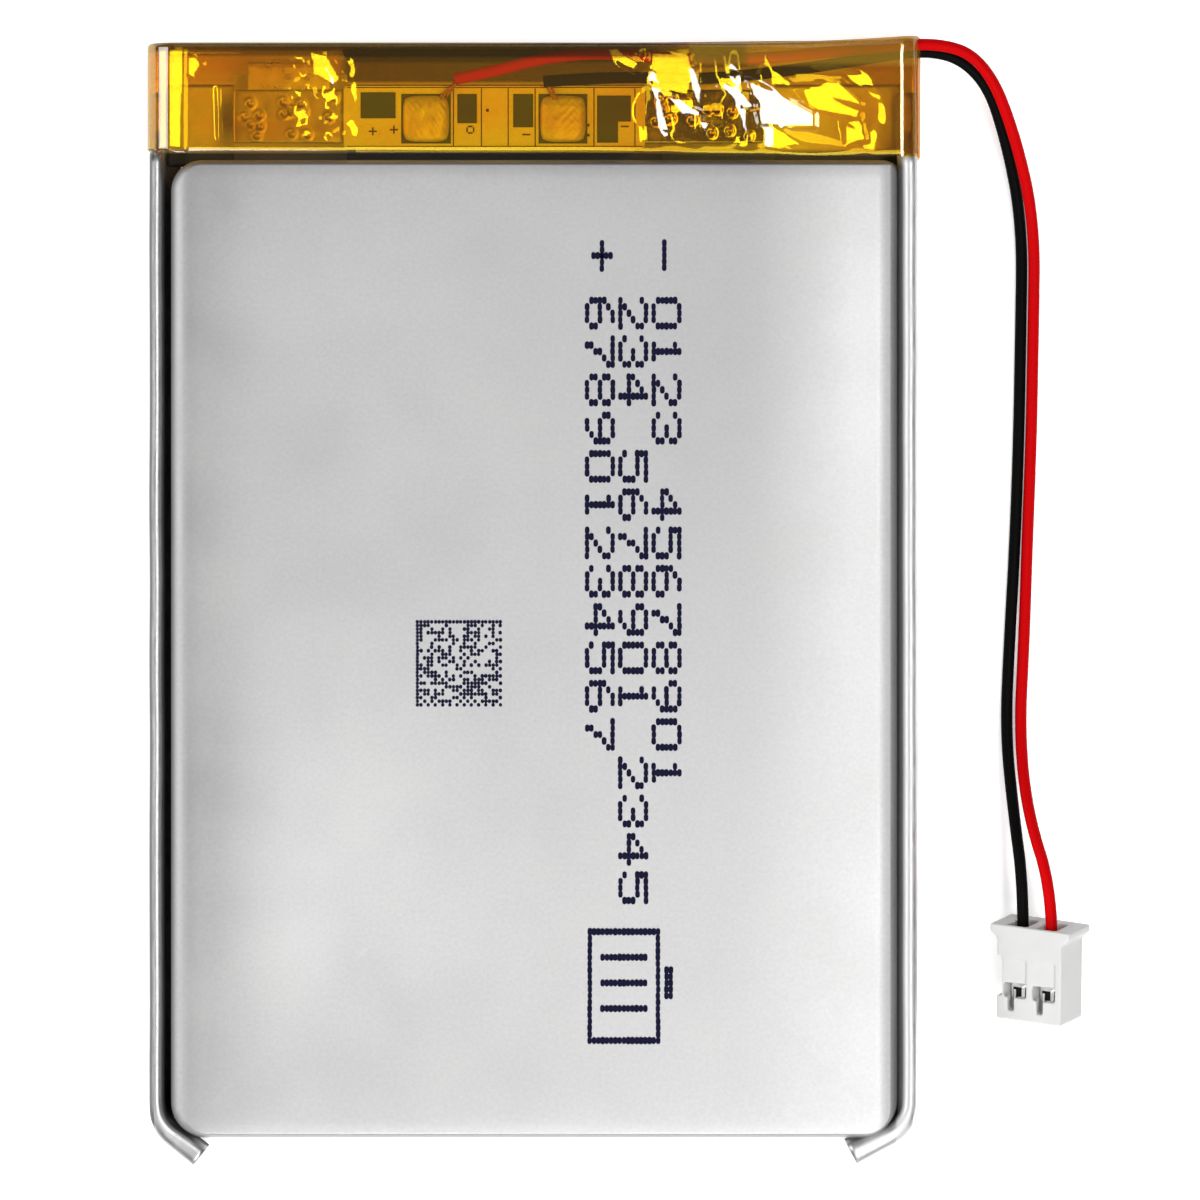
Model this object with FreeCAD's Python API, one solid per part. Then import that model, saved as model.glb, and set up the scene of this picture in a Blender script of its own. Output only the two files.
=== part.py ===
import FreeCAD, Part
import math
import os
from FreeCAD import Matrix, Vector

# Lithium-polymer pouch cell with its protection board, two leads and a two-way plug.
# The cell lies on its back: +X across its width, +Y towards the end with the tabs,
# +Z out of its printed face. The origin is under the middle of the cell, on the surface
# that it lies on. Millimetres.

# Cell: 6.0 x 47 x 65, its common size code
CELL_THICKNESS = 6.0
CELL_WIDTH = 47.0
CELL_LENGTH = 65.0
BACK_Z = 0.14                      # the back film stands on the two tape layers at the head
FACE_Z = BACK_Z + CELL_THICKNESS
BOTTOM_Y = -33.0
SEAL_TOP_Y = BOTTOM_Y + CELL_LENGTH
CUP_TOP_Y = 27.2                   # where the cup ends and the flat top seal starts
CUP_HALF_WIDTH = 22.3
TOP_CORNER_RADIUS = 1.9
BOTTOM_CORNER_RADIUS = 2.2
FACE_EDGE_RADIUS = 0.9
FILM = 0.11                        # aluminium laminate film
SEAL = 2 * FILM                    # two films melted together
TOP_SEAL_Z = BACK_Z + 0.05         # the top seal lies a little above the plane of the back
JOIN = 0.2                         # how far joined pieces of film run into each other

# Side seals, folded up along the cup and folded over once more
RAIL_OUT = CELL_WIDTH / 2
RAIL_WIDTH = 0.6
RAIL_TOP_Z = 5.6
RAIL_HEM_Z = 1.0                   # lower edge of the outer leg
RAIL_TURN_RADIUS = 2.4             # where the seal goes round the cup's bottom corner
HEAD_FLANGE_Z = 4.2                # the side seal is lower under the head tape
LEFT_EAR = (-1, -31.2, 50.0, 2.38)   # side, y where it turns, turn in degrees, free length
RIGHT_EAR = (1, -31.0, 62.0, 2.0)
EAR_ROOT_X = 0.15                  # how far past its tip an ear is still joined to the cell

# Wound electrodes
ROLL_BACK_Z = 0.8
ROLL_FRONT_Z = 5.88
TURNS = 8
CORE_RADIUS = 0.1
CATHODE = 0.118
ANODE = 0.118
SEPARATOR = 0.022
LAYER_GAP = 0.006
ROLL_HALF_WIDTH = 21.7
CATHODE_Y = (-31.4, 25.2)
ANODE_Y = (-31.8, 25.6)
SEPARATOR_Y = (-32.2, 26.1)
END_TAPE = 0.04
END_TAPE_X = (-6.0, 6.0)
END_TAPE_Y = (-20.0, 14.0)

# Tabs that come out through the top seal
TAB = 0.1
TAB_WIDTH = 5.0
POSITIVE_TAB_X = -15.1
NEGATIVE_TAB_X = 11.4
TAB_INNER_Y = 15.0
TAB_FOLD_Y = 33.3
TAB_BEND = 0.45
TAB_TIP_Y = 28.6
SEALANT = 0.08
SEALANT_SIDE = 1.0
SEALANT_INSIDE = 1.2               # how far the sealant film reaches into the cup
SEALANT_OUTSIDE = 0.6              # and out of the seal
FIT_GAP = 0.005
WELD_TAPE = 0.05
WELD_TAPE_SIDE = 0.8
WELD_TAPE_Y = (TAB_INNER_Y - 1.0, CUP_TOP_Y - 2.0)
STACK_GAP = 0.01

# Protection board and what is on it
BOARD_X = (-11.7, 6.85)
BOARD_Y = (27.85, 31.7)
BOARD_Z = (4.0, 4.6)
BOARD_CORNER = 0.3
PAD = 0.05
PADS = (                           # left, right, lower and upper edge of each pad
    (-10.65, -8.5, 29.7, 31.3),
    (-8.3, -5.1, 27.95, 31.5),
    (-4.7, -3.4, 29.4, 31.2),
    (-1.26, -0.05, 29.2, 31.2),
    (0.15, 3.5, 27.95, 31.5),
    (3.9, 6.05, 28.2, 31.1),
)
POSITIVE_JOINT = (-6.7, 29.75)
NEGATIVE_JOINT = (1.8, 29.75)
JOINT_RADIUS = 1.55
JOINT_HEIGHT = 0.62
LINK = 0.15
LINK_Y = (28.2, 31.5)
POSITIVE_LINK_X = (-18.5, -9.4)
NEGATIVE_LINK_X = (4.4, 14.8)
FOAM_X = (-11.0, 6.2)
FOAM_Y = (27.7, 31.6)
FOAM_Z = (0.7, 2.75)

# Components under the board: middle x and y, length, width, height, then legs a side and pitch
PROTECTION_CHIP = (-6.9, 29.75, 2.9, 1.6, 1.1, 3, 0.95)
MOSFET_CHIP = (0.2, 29.75, 3.0, 2.4, 1.0, 4, 0.65)
CHIP_STANDOFF = 0.1
LEG_WIDTH = 0.26
LEG = 0.12
LEG_REACH = 0.32
LEG_FOOT = 0.55
LEG_LEVEL = 0.55                   # where the legs leave the body, as a share of its height
RESISTOR = (1.6, 0.8, 0.45)        # length, width, height
RESISTOR_PLACES = ((-3.6, 28.8), (-3.6, 30.6))
CAPACITOR = (1.0, 0.5, 0.5)
CAPACITOR_PLACES = ((3.1, 28.9), (3.1, 30.6))
END_CAP = 0.25
END_CAP_STEP = 0.03

# Polyimide tape round the head, two layers
TAPE = 0.06
TAPE_GAP = 0.01
HEAD_HALF_WIDTH = 23.7
HEAD_TOP_Y = 34.32
HEAD_FRONT_Z = 5.85
HEAD_EDGE_RADIUS = 1.3
LEAD_BULGE_X = 11.7                # the end swells from here to make room for the leads
LEAD_BULGE_Y = 34.8
INNER_TAPE_Y = 27.26
OUTER_TAPE_LEFT_Y = 27.8
OUTER_TAPE_RIGHT_Y = 27.3

# Leads: 28 AWG stranded copper in soft insulation
WIRE = 0.72
CONDUCTOR = 0.36
BORE_GAP = 0.02
JOINT_STRIP = 1.7                  # bare length in the solder
CRIMP_STRIP = 1.2                  # bare length in the terminal
RED_ROUTE = (
    (-7.0, 30.2, 5.04), (-3.6, 32.5, 5.06), (2.5, 33.85, 5.06), (8.8, 33.1, 5.02),
    (14.2, 33.35, 5.0), (19.5, 33.9, 5.0), (25.4, 34.42, 5.0), (28.0, 32.9, 4.3),
    (29.8, 28.5, 2.6), (31.0, 23.3, 1.0), (30.92, 16.6, 0.48), (30.8, 10.0, 0.42),
    (30.55, 3.6, 0.42), (30.35, -2.6, 0.45), (30.05, -8.1, 0.75), (30.45, -13.1, 3.0),
    (31.92, -17.89, 4.85), (31.92, -22.77, 3.77),
)
BLACK_ROUTE = (
    (0.6, 29.9, 5.04), (4.2, 32.3, 5.06), (9.4, 32.15, 4.95), (14.2, 32.45, 4.45),
    (19.4, 33.2, 4.12), (24.9, 34.12, 4.12), (27.8, 32.35, 3.4), (29.2, 28.5, 1.8),
    (30.25, 23.3, 0.5), (30.15, 16.6, 0.38), (30.03, 10.0, 0.37), (29.8, 3.6, 0.37),
    (29.45, -2.6, 0.37), (29.2, -8.1, 0.5), (29.62, -13.0, 2.2),
    (30.18, -17.67, 3.87), (30.18, -22.55, 2.79),
)

# Plug: two ways at 2.0 mm. Its own axes are u across the ways, v towards the leads, w out of
# the face with the windows.
PITCH = 2.0
PLUG_CENTRE = Vector(31.2, -22.8, 2.98)
PLUG_ROLL = 30.0
PLUG_TILT = 12.5
PLUG_WIDTH = 4.5
PLUG_DEPTH = 2.9
PLUG_LENGTH = 6.0
LIP_SIDE = 0.5
LIP_HEIGHT = 0.47
LIP_CHAMFER = 0.4
WAY_U = 1.3
WAY_W = (-0.55, 1.15)
WAY_CENTRE_W = 0.3
WINDOW_U = 1.55
WINDOW_V = (-1.53, -0.67)
KEYWAY_U = 0.41
KEYWAY_OFFSET = -0.27
KEYWAY_V = -2.4
NOTCH_U = 0.37
NOTCH_V = (-1.49, 0.99)
GUIDE_V = (-0.67, 0.93)
GUIDE_DEPTH = 0.16
CONTACT = 0.13                     # sheet that the terminals are made of
SOCKET_HALF = 0.5
SOCKET_V = (-2.6, -0.3)
STRIP_HALF = 0.3
STRIP_V = (-0.4, 2.3)
BARREL_FOOT_HALF = 0.2
CONDUCTOR_BARREL_V = (0.35, 1.3)
INSULATION_BARREL_V = (1.5, 2.3)
WINDOW_FLOOR_W = 0.4
PAST = 1.0                         # how far cutting tools run past what they cut

TINY = 1e-6


def box(x_range, y_range, z_range):
    low = Vector(x_range[0], y_range[0], z_range[0])
    return Part.makeBox(x_range[1] - x_range[0], y_range[1] - y_range[0],
                        z_range[1] - z_range[0], low)


def solid_prism(points, direction):
    """A closed outline of straight sides, pushed along a direction."""
    return Part.Face(Part.makePolygon(list(points) + [points[0]])).extrude(direction)


def face_of(edges):
    shapes = [edge.toShape() for edge in edges]
    return Part.Face(Part.Wire(Part.__sortEdges__(shapes)))


# ---------------------------------------------------------------- bent strips

def left_of(direction):
    return Vector(-direction.y, direction.x, 0)


def bent_side(points, bend, side, lift):
    """One side of a bent strip: straight runs and arcs, moved left of its middle by side."""
    points = [Vector(a, b, 0) for a, b in points]
    headings = [(q - p).normalize() for p, q in zip(points, points[1:])]
    start = points[0] + left_of(headings[0]) * side
    edges = []
    for corner, before, after in zip(points[1:], headings, headings[1:]):
        turn = math.atan2(before.x * after.y - before.y * after.x, before.dot(after))
        inward = left_of(before) * math.copysign(1, turn)
        reach = bend * math.tan(abs(turn) / 2)
        centre = corner - before * reach + inward * bend
        radius = bend - math.copysign(side, turn * side) if side else bend
        first = centre - inward * radius
        middle = centre + (corner - centre).normalize() * radius
        last = centre - left_of(after) * math.copysign(radius, turn)
        edges.append(Part.LineSegment(lift(start), lift(first)))
        edges.append(Part.Arc(lift(first), lift(middle), lift(last)))
        start = last
    end = points[-1] + left_of(headings[-1]) * side
    edges.append(Part.LineSegment(lift(start), lift(end)))
    return edges


def bent_strip(points, bend, thickness, x_range):
    """Sheet metal strip bent in the YZ plane; points are (y, z) along its middle."""
    def lift(point):
        return Vector(x_range[0], point.x, point.y)

    left = bent_side(points, bend, thickness / 2, lift)
    right = bent_side(points, bend, -thickness / 2, lift)
    caps = [Part.LineSegment(left[0].StartPoint, right[0].StartPoint),
            Part.LineSegment(left[-1].EndPoint, right[-1].EndPoint)]
    return face_of(left + right + caps).extrude(Vector(x_range[1] - x_range[0], 0, 0))


# ---------------------------------------------------------------- pouch

def edges_at(shape, test):
    return [edge for edge in shape.Edges if all(test(v.Point) for v in edge.Vertexes)]


def cup_block(inset):
    """The drawn cup as a solid block, moved inwards by inset on every side."""
    half = CUP_HALF_WIDTH - inset
    low, high = BOTTOM_Y + inset, CUP_TOP_Y - inset
    top = FACE_Z - inset
    block = box((-half, half), (low, high), (BACK_Z + inset, top))
    for y, radius in ((low, BOTTOM_CORNER_RADIUS), (high, TOP_CORNER_RADIUS)):
        for x in (-half, half):
            corner = edges_at(block, lambda p: abs(p.x - x) < TINY and abs(p.y - y) < TINY)
            block = block.makeFillet(radius - inset, corner)
    rim = edges_at(block, lambda p: abs(p.z - top) < TINY)
    return block.makeFillet(FACE_EDGE_RADIUS - inset, rim)


def rail_section(side, y):
    """Cross-section of a folded side seal: up from the base, over a tight fold, and down."""
    outer = RAIL_WIDTH / 2
    inner = outer - SEAL
    middle = RAIL_OUT - outer
    fold = RAIL_TOP_Z - outer

    def at(x, z):
        return Vector(side * x, y, z)

    return face_of([
        Part.LineSegment(at(middle - outer, BACK_Z), at(middle - outer, fold)),
        Part.Arc(at(middle - outer, fold), at(middle, fold + outer), at(middle + outer, fold)),
        Part.LineSegment(at(middle + outer, fold), at(middle + outer, RAIL_HEM_Z)),
        Part.LineSegment(at(middle + outer, RAIL_HEM_Z), at(middle + inner, RAIL_HEM_Z)),
        Part.LineSegment(at(middle + inner, RAIL_HEM_Z), at(middle + inner, fold)),
        Part.Arc(at(middle + inner, fold), at(middle, fold + inner), at(middle - inner, fold)),
        Part.LineSegment(at(middle - inner, fold), at(middle - inner, BACK_Z)),
        Part.LineSegment(at(middle - inner, BACK_Z), at(middle - outer, BACK_Z)),
    ])


def rail(side, turn_y, turn, free_length):
    """One side seal, with the ear that it leaves past the cup's bottom corner."""
    section = rail_section(side, turn_y)
    centre = Vector(side * (RAIL_OUT - RAIL_WIDTH / 2 - RAIL_TURN_RADIUS), turn_y, 0)
    straight = section.extrude(Vector(0, CUP_TOP_Y - turn_y, 0))
    corner = section.revolve(centre, Vector(0, 0, 1), -side * turn)
    end = section.copy()
    end.rotate(centre, Vector(0, 0, 1), -side * turn)
    angle = math.radians(turn)
    heading = Vector(-side * math.sin(angle), -math.cos(angle), 0)
    ear = end.extrude(heading * free_length)
    web = ear_web(side, centre, angle, heading * free_length)
    return straight.fuse([corner, ear, web])


def ear_web(side, centre, angle, reach):
    """The flat root of the side seal round the cup's bottom corner, out to the ear's cut end."""
    radius = RAIL_TURN_RADIUS - RAIL_WIDTH / 2 + SEAL / 2
    base = Vector(centre.x, centre.y, BACK_Z)

    def on_turn(part_angle):
        return base + Vector(side * math.cos(part_angle), -math.sin(part_angle), 0) * radius

    tip = on_turn(angle) + reach
    at_edge = Vector(tip.x - side * EAR_ROOT_X, BOTTOM_Y + JOIN, BACK_Z)
    inside = Vector(at_edge.x, centre.y, BACK_Z)
    outline = face_of([
        Part.Arc(on_turn(0), on_turn(angle / 2), on_turn(angle)),
        Part.LineSegment(on_turn(angle), tip),
        Part.LineSegment(tip, at_edge),
        Part.LineSegment(at_edge, inside),
        Part.LineSegment(inside, on_turn(0)),
    ])
    return outline.extrude(Vector(0, 0, SEAL))


def side_flange(side, turn_y):
    """The flat root of a side seal, and its plain upright stretch under the head tape."""
    inner = RAIL_OUT - RAIL_WIDTH
    x_range = (CUP_HALF_WIDTH - JOIN, inner + SEAL)
    beside_cup = box(x_range, (turn_y, CUP_TOP_Y), (BACK_Z, BACK_Z + SEAL))
    beside_seal = box(x_range, (CUP_TOP_Y - JOIN, SEAL_TOP_Y), (TOP_SEAL_Z, TOP_SEAL_Z + SEAL))
    upright = box((inner, inner + SEAL), (CUP_TOP_Y - JOIN, SEAL_TOP_Y),
                  (TOP_SEAL_Z, HEAD_FLANGE_Z))
    flange = beside_cup.fuse([beside_seal, upright])
    return flange if side > 0 else flange.mirror(Vector(0, 0, 0), Vector(1, 0, 0))


def tab_range(x, margin=0.0):
    return (x - TAB_WIDTH / 2 - margin, x + TAB_WIDTH / 2 + margin)


def tab_z():
    """Height of the middle of a tab where it lies in the seal."""
    return TOP_SEAL_Z + FILM + SEALANT + TAB / 2


def sealant_block(x, grow):
    half = TAB / 2 + SEALANT + grow
    y_range = (CUP_TOP_Y - SEALANT_INSIDE - grow, SEAL_TOP_Y + PAST)
    return box(tab_range(x, SEALANT_SIDE + grow), y_range, (tab_z() - half, tab_z() + half))


def pouch_film():
    """One sheet of laminate: cup, back, top seal with a tunnel for each tab, folded side seals."""
    film = cup_block(0).cut(cup_block(FILM))
    width = RAIL_OUT - RAIL_WIDTH
    seal_y = (CUP_TOP_Y - FILM, SEAL_TOP_Y)
    terrace = box((-width, width), seal_y, (TOP_SEAL_Z, TOP_SEAL_Z + SEAL))
    tunnels = []
    for x in (POSITIVE_TAB_X, NEGATIVE_TAB_X):
        tunnel = sealant_block(x, FILM)
        tunnels.append(tunnel.common(box((-width, width), seal_y, (BACK_Z, FACE_Z))))
    rails = [rail(*LEFT_EAR), rail(*RIGHT_EAR)]
    flanges = [side_flange(*LEFT_EAR[:2]), side_flange(*RIGHT_EAR[:2])]
    film = film.fuse([terrace] + tunnels + rails + flanges)
    for x in (POSITIVE_TAB_X, NEGATIVE_TAB_X):
        film = film.cut(sealant_block(x, 0))
    return film.removeSplitter()


# ---------------------------------------------------------------- electrode roll

def spiral_side(offset):
    """Flattened spiral at a distance outside its core, as (points, arc middles) in (x, z)."""
    pitch = CATHODE + ANODE + 2 * SEPARATOR + 4 * LAYER_GAP
    reach = ROLL_HALF_WIDTH - CORE_RADIUS - TURNS * pitch - pitch / 2
    middle_z = (ROLL_BACK_Z + ROLL_FRONT_Z) / 2 + pitch / 4
    radius = CORE_RADIUS + offset
    corners = [(0, middle_z - radius)]
    for half_turn in range(2 * TURNS):
        right = half_turn % 2 == 0
        x = reach if right else -reach
        z = middle_z if right else middle_z - pitch / 2
        up = 1 if right else -1
        corners.append(((x, z - up * radius), (x + up * radius, z), (x, z + up * radius)))
        last_z = z + up * radius
        radius += pitch / 2
    corners.append((0, last_z))
    return corners


def spiral_edges(offset, y):
    corners = spiral_side(offset)
    here = Vector(corners[0][0], y, corners[0][1])
    edges = []
    for first, middle, last in corners[1:-1]:
        points = [Vector(x, y, z) for x, z in (first, middle, last)]
        edges.append(Part.LineSegment(here, points[0]))
        edges.append(Part.Arc(*points))
        here = points[2]
    edges.append(Part.LineSegment(here, Vector(corners[-1][0], y, corners[-1][1])))
    return edges


def wound_strip(offset, thickness, y_range):
    inner = spiral_edges(offset, y_range[0])
    outer = spiral_edges(offset + thickness, y_range[0])
    caps = [Part.LineSegment(inner[0].StartPoint, outer[0].StartPoint),
            Part.LineSegment(inner[-1].EndPoint, outer[-1].EndPoint)]
    return face_of(inner + outer + caps).extrude(Vector(0, y_range[1] - y_range[0], 0))


def roll_nodes():
    nodes = {}
    offset = 0.0
    for name, thickness, y_range in (("separator_inner", SEPARATOR, SEPARATOR_Y),
                                     ("anode_strip", ANODE, ANODE_Y),
                                     ("separator_outer", SEPARATOR, SEPARATOR_Y),
                                     ("cathode_strip", CATHODE, CATHODE_Y)):
        nodes[name] = wound_strip(offset, thickness, y_range)
        offset += thickness + LAYER_GAP
    front = max(nodes["cathode_strip"].BoundBox.ZMax, nodes["separator_outer"].BoundBox.ZMax)
    low = front + STACK_GAP
    nodes["winding_end_tape"] = box(END_TAPE_X, END_TAPE_Y, (low, low + END_TAPE))
    return nodes


# ---------------------------------------------------------------- tabs, links and board

def tab(x):
    """Flat in the cell and through the seal, then folded up and back under its link."""
    upper_z = BOARD_Z[0] - LINK - TAB / 2
    points = ((TAB_INNER_Y, tab_z()), (TAB_FOLD_Y, tab_z()), (TAB_FOLD_Y, upper_z),
              (TAB_TIP_Y, upper_z))
    return bent_strip(points, TAB_BEND, TAB, tab_range(x))


def tab_sealant(x):
    half = TAB / 2 + FIT_GAP
    hole = box(tab_range(x, FIT_GAP), (TAB_INNER_Y, TAB_FOLD_Y + PAST),
               (tab_z() - half, tab_z() + half))
    kept = box((-CELL_WIDTH, CELL_WIDTH), (TAB_INNER_Y, SEAL_TOP_Y + SEALANT_OUTSIDE),
               (0, FACE_Z))
    return sealant_block(x, 0).common(kept).cut(hole)


def weld_tape(x):
    """Insulating tape over the weld between a tab and its foil, between roll and tab."""
    low = tab_z() + TAB / 2 + STACK_GAP
    return box(tab_range(x, WELD_TAPE_SIDE), WELD_TAPE_Y, (low, low + WELD_TAPE))


def link(x_range):
    return box(x_range, LINK_Y, (BOARD_Z[0] - LINK, BOARD_Z[0]))


def circuit_board():
    board = box(BOARD_X, BOARD_Y, BOARD_Z)
    corners = [edge for edge in board.Edges
               if abs(edge.Vertexes[0].X - edge.Vertexes[1].X) < TINY
               and abs(edge.Vertexes[0].Y - edge.Vertexes[1].Y) < TINY]
    return board.makeFillet(BOARD_CORNER, corners)


def board_pads():
    top = BOARD_Z[1]
    return Part.makeCompound([box((x0, x1), (y0, y1), (top, top + PAD))
                              for x0, x1, y0, y1 in PADS])


def chip(x, y, length, width, height, legs, pitch):
    """A moulded chip under the board, with its row of legs along each long side."""
    top = BOARD_Z[0]
    body = box((x - length / 2, x + length / 2), (y - width / 2, y + width / 2),
               (top - height, top - CHIP_STANDOFF))
    level = top - height * LEG_LEVEL
    first = x - pitch * (legs - 1) / 2
    leads = []
    for side in (-1, 1):
        root = y + side * width / 2
        out = sorted((root - side * CHIP_STANDOFF, root + side * LEG_REACH))
        shin = sorted((root + side * (LEG_REACH - LEG), root + side * LEG_REACH))
        foot = sorted((root + side * (LEG_REACH - LEG), root + side * LEG_FOOT))
        for number in range(legs):
            at = first + pitch * number
            across = (at - LEG_WIDTH / 2, at + LEG_WIDTH / 2)
            leads.append(box(across, out, (level, level + LEG)))
            leads.append(box(across, shin, (level, top)))
            leads.append(box(across, foot, (top - LEG, top)))
    return body.fuse(leads).removeSplitter()


def passive(x, y, length, width, height):
    """A chip resistor or capacitor: a ceramic block between two metal ends, under the board."""
    top = BOARD_Z[0]
    inner = length / 2 - END_CAP
    body = box((x - inner, x + inner), (y - width / 2, y + width / 2),
               (top - height + END_CAP_STEP, top - END_CAP_STEP))
    caps = [box(sorted((x + side * length / 2, x + side * inner)),
                (y - width / 2, y + width / 2), (top - height, top)) for side in (-1, 1)]
    return body.fuse(caps)


def passives(places, size):
    return Part.makeCompound([passive(x, y, *size) for x, y in places])


def solder_joint(centre, conductor_end):
    """A low dome of solder on a pad, with the groove that holds the bare strands."""
    base_z = BOARD_Z[1] + PAD
    radius = (JOINT_RADIUS ** 2 + JOINT_HEIGHT ** 2) / (2 * JOINT_HEIGHT)
    middle = Vector(centre[0], centre[1], base_z + JOINT_HEIGHT - radius)
    dome = Part.makeSphere(radius, middle)
    reach = 2 * JOINT_RADIUS
    above = box((centre[0] - reach, centre[0] + reach), (centre[1] - reach, centre[1] + reach),
                (base_z, base_z + reach))
    return dome.common(above).cut(conductor_end)


# ---------------------------------------------------------------- head tape

def head_section(inset, y):
    """Outline of the wrapped head seen along the cell, with rounded front edges."""
    half, front = HEAD_HALF_WIDTH - inset, HEAD_FRONT_Z - inset
    radius = HEAD_EDGE_RADIUS - inset
    slope = radius * math.sqrt(0.5)

    def at(x, z):
        return Vector(x, y, z)

    edges = [Part.LineSegment(at(-half, inset), at(half, inset)),
             Part.LineSegment(at(half - radius, front), at(radius - half, front))]
    for side in (-1, 1):
        inner = half - radius
        edges.append(Part.LineSegment(at(side * half, inset), at(side * half, front - radius)))
        edges.append(Part.Arc(at(side * half, front - radius),
                              at(side * (inner + slope), front - radius + slope),
                              at(side * inner, front)))
    return face_of(edges)


def head_outline(inset, left_y, right_y):
    """Outline of the wrapped head seen from the front, as a tall prism.

    The end is straight, then swells on an arc that starts level with it."""
    half = HEAD_HALF_WIDTH + PAST
    top, swell = HEAD_TOP_Y - inset, LEAD_BULGE_Y - inset
    span, rise = HEAD_HALF_WIDTH - LEAD_BULGE_X, swell - top
    radius = (span ** 2 + rise ** 2) / (2 * rise)
    whole = math.asin((half - LEAD_BULGE_X) / radius)

    def at(x, y):
        return Vector(x, y, -PAST)

    def on_arc(angle):
        return at(LEAD_BULGE_X + radius * math.sin(angle), top + radius * (1 - math.cos(angle)))

    outline = face_of([
        Part.LineSegment(at(-half, left_y), at(-half, top)),
        Part.LineSegment(at(-half, top), at(LEAD_BULGE_X, top)),
        Part.Arc(at(LEAD_BULGE_X, top), on_arc(whole / 2), on_arc(whole)),
        Part.LineSegment(on_arc(whole), at(half, right_y)),
        Part.LineSegment(at(half, right_y), at(-half, left_y)),
    ])
    return outline.extrude(Vector(0, 0, FACE_Z + 2 * PAST))


def head_block(inset, left_y, right_y):
    """The wrapped head as a solid block, moved inwards by inset, down to the tape's edge."""
    low = min(left_y, right_y) - PAST
    block = head_section(inset, low).extrude(Vector(0, LEAD_BULGE_Y + PAST - low, 0))
    return block.common(head_outline(inset, left_y, right_y))


def tape_layer(inset, left_y, right_y, leads):
    shell = head_block(inset, left_y, right_y)
    shell = shell.cut(head_block(inset + TAPE, left_y - PAST, right_y - PAST))
    return shell.cut(leads)


# ---------------------------------------------------------------- leads

def cord_path(route):
    """Straight runs joined by the widest tangent arcs that the runs allow; prints the radii."""
    points = [Vector(*point) for point in route]
    edges = []
    radii = []
    start = points[0]
    for before, corner, after in zip(points, points[1:], points[2:]):
        came = (corner - before).normalize()
        goes = (after - corner).normalize()
        shorter = min((corner - before).Length, (after - corner).Length)
        half_turn = came.getAngle(goes) / 2
        reach = 0.45 * shorter
        radius = reach / math.tan(half_turn)
        first, last = corner - came * reach, corner + goes * reach
        sag = radius * (1 / math.cos(half_turn) - 1)
        middle = corner + (goes - came).normalize() * sag
        edges += [Part.LineSegment(start, first), Part.Arc(first, middle, last)]
        radii.append(round(radius, 1))
        start = last
    edges.append(Part.LineSegment(start, points[-1]))
    wire = Part.Wire([edge.toShape() for edge in edges])
    print("run length", round(wire.Length, 2), "radii", radii)
    return wire


def tube(path, diameter):
    first = path.Edges[0]
    start = first.Vertexes[0].Point
    heading = first.Vertexes[1].Point - start
    ring = Part.Wire(Part.makeCircle(diameter / 2, start, heading))
    return path.makePipeShell([ring], True, False)


def shortened(route, at_start, at_end):
    """The route with its first and last runs cut back."""
    points = [Vector(*point) for point in route]
    points[0] = points[0] + (points[1] - points[0]).normalize() * at_start
    points[-1] = points[-1] + (points[-2] - points[-1]).normalize() * at_end
    return points


def lead(route):
    """Insulation and conductor of one lead, and a plain rod as wide as the insulation."""
    conductor = tube(cord_path(route), CONDUCTOR)
    covered = cord_path(shortened(route, JOINT_STRIP, CRIMP_STRIP))
    rod = tube(covered, WIRE)
    insulation = rod.cut(tube(cord_path(route), CONDUCTOR + 2 * BORE_GAP))
    section = math.pi * (WIRE ** 2 - (CONDUCTOR + 2 * BORE_GAP) ** 2) / 4
    print("insulation volume / (section x length)",
          round(insulation.Volume / (section * covered.Length), 4))
    return insulation, conductor, rod


def clear_of(route, diameter):
    """The first run of a lead as a plain rod, for the groove in its solder."""
    start, end = Vector(*route[0]), Vector(*route[1])
    heading = (end - start).normalize()
    back = start - heading * BORE_GAP
    return Part.makeCylinder(diameter / 2, (end - start).Length, back, heading)


# ---------------------------------------------------------------- plug

def plug_frame():
    """Columns are the plug's u, v and w in the cell's frame."""
    roll, tilt = math.radians(PLUG_ROLL), math.radians(PLUG_TILT)
    u = Vector(math.cos(roll), -math.sin(roll) * math.sin(tilt), math.sin(roll) * math.cos(tilt))
    v = Vector(0, math.cos(tilt), math.sin(tilt))
    w = u.cross(v)
    c = PLUG_CENTRE
    return Matrix(u.x, v.x, w.x, c.x, u.y, v.y, w.y, c.y, u.z, v.z, w.z, c.z, 0, 0, 0, 1)


def placed(shape):
    return shape.transformed(plug_frame())


def way_middles():
    return (-PITCH / 2, PITCH / 2)


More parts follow.
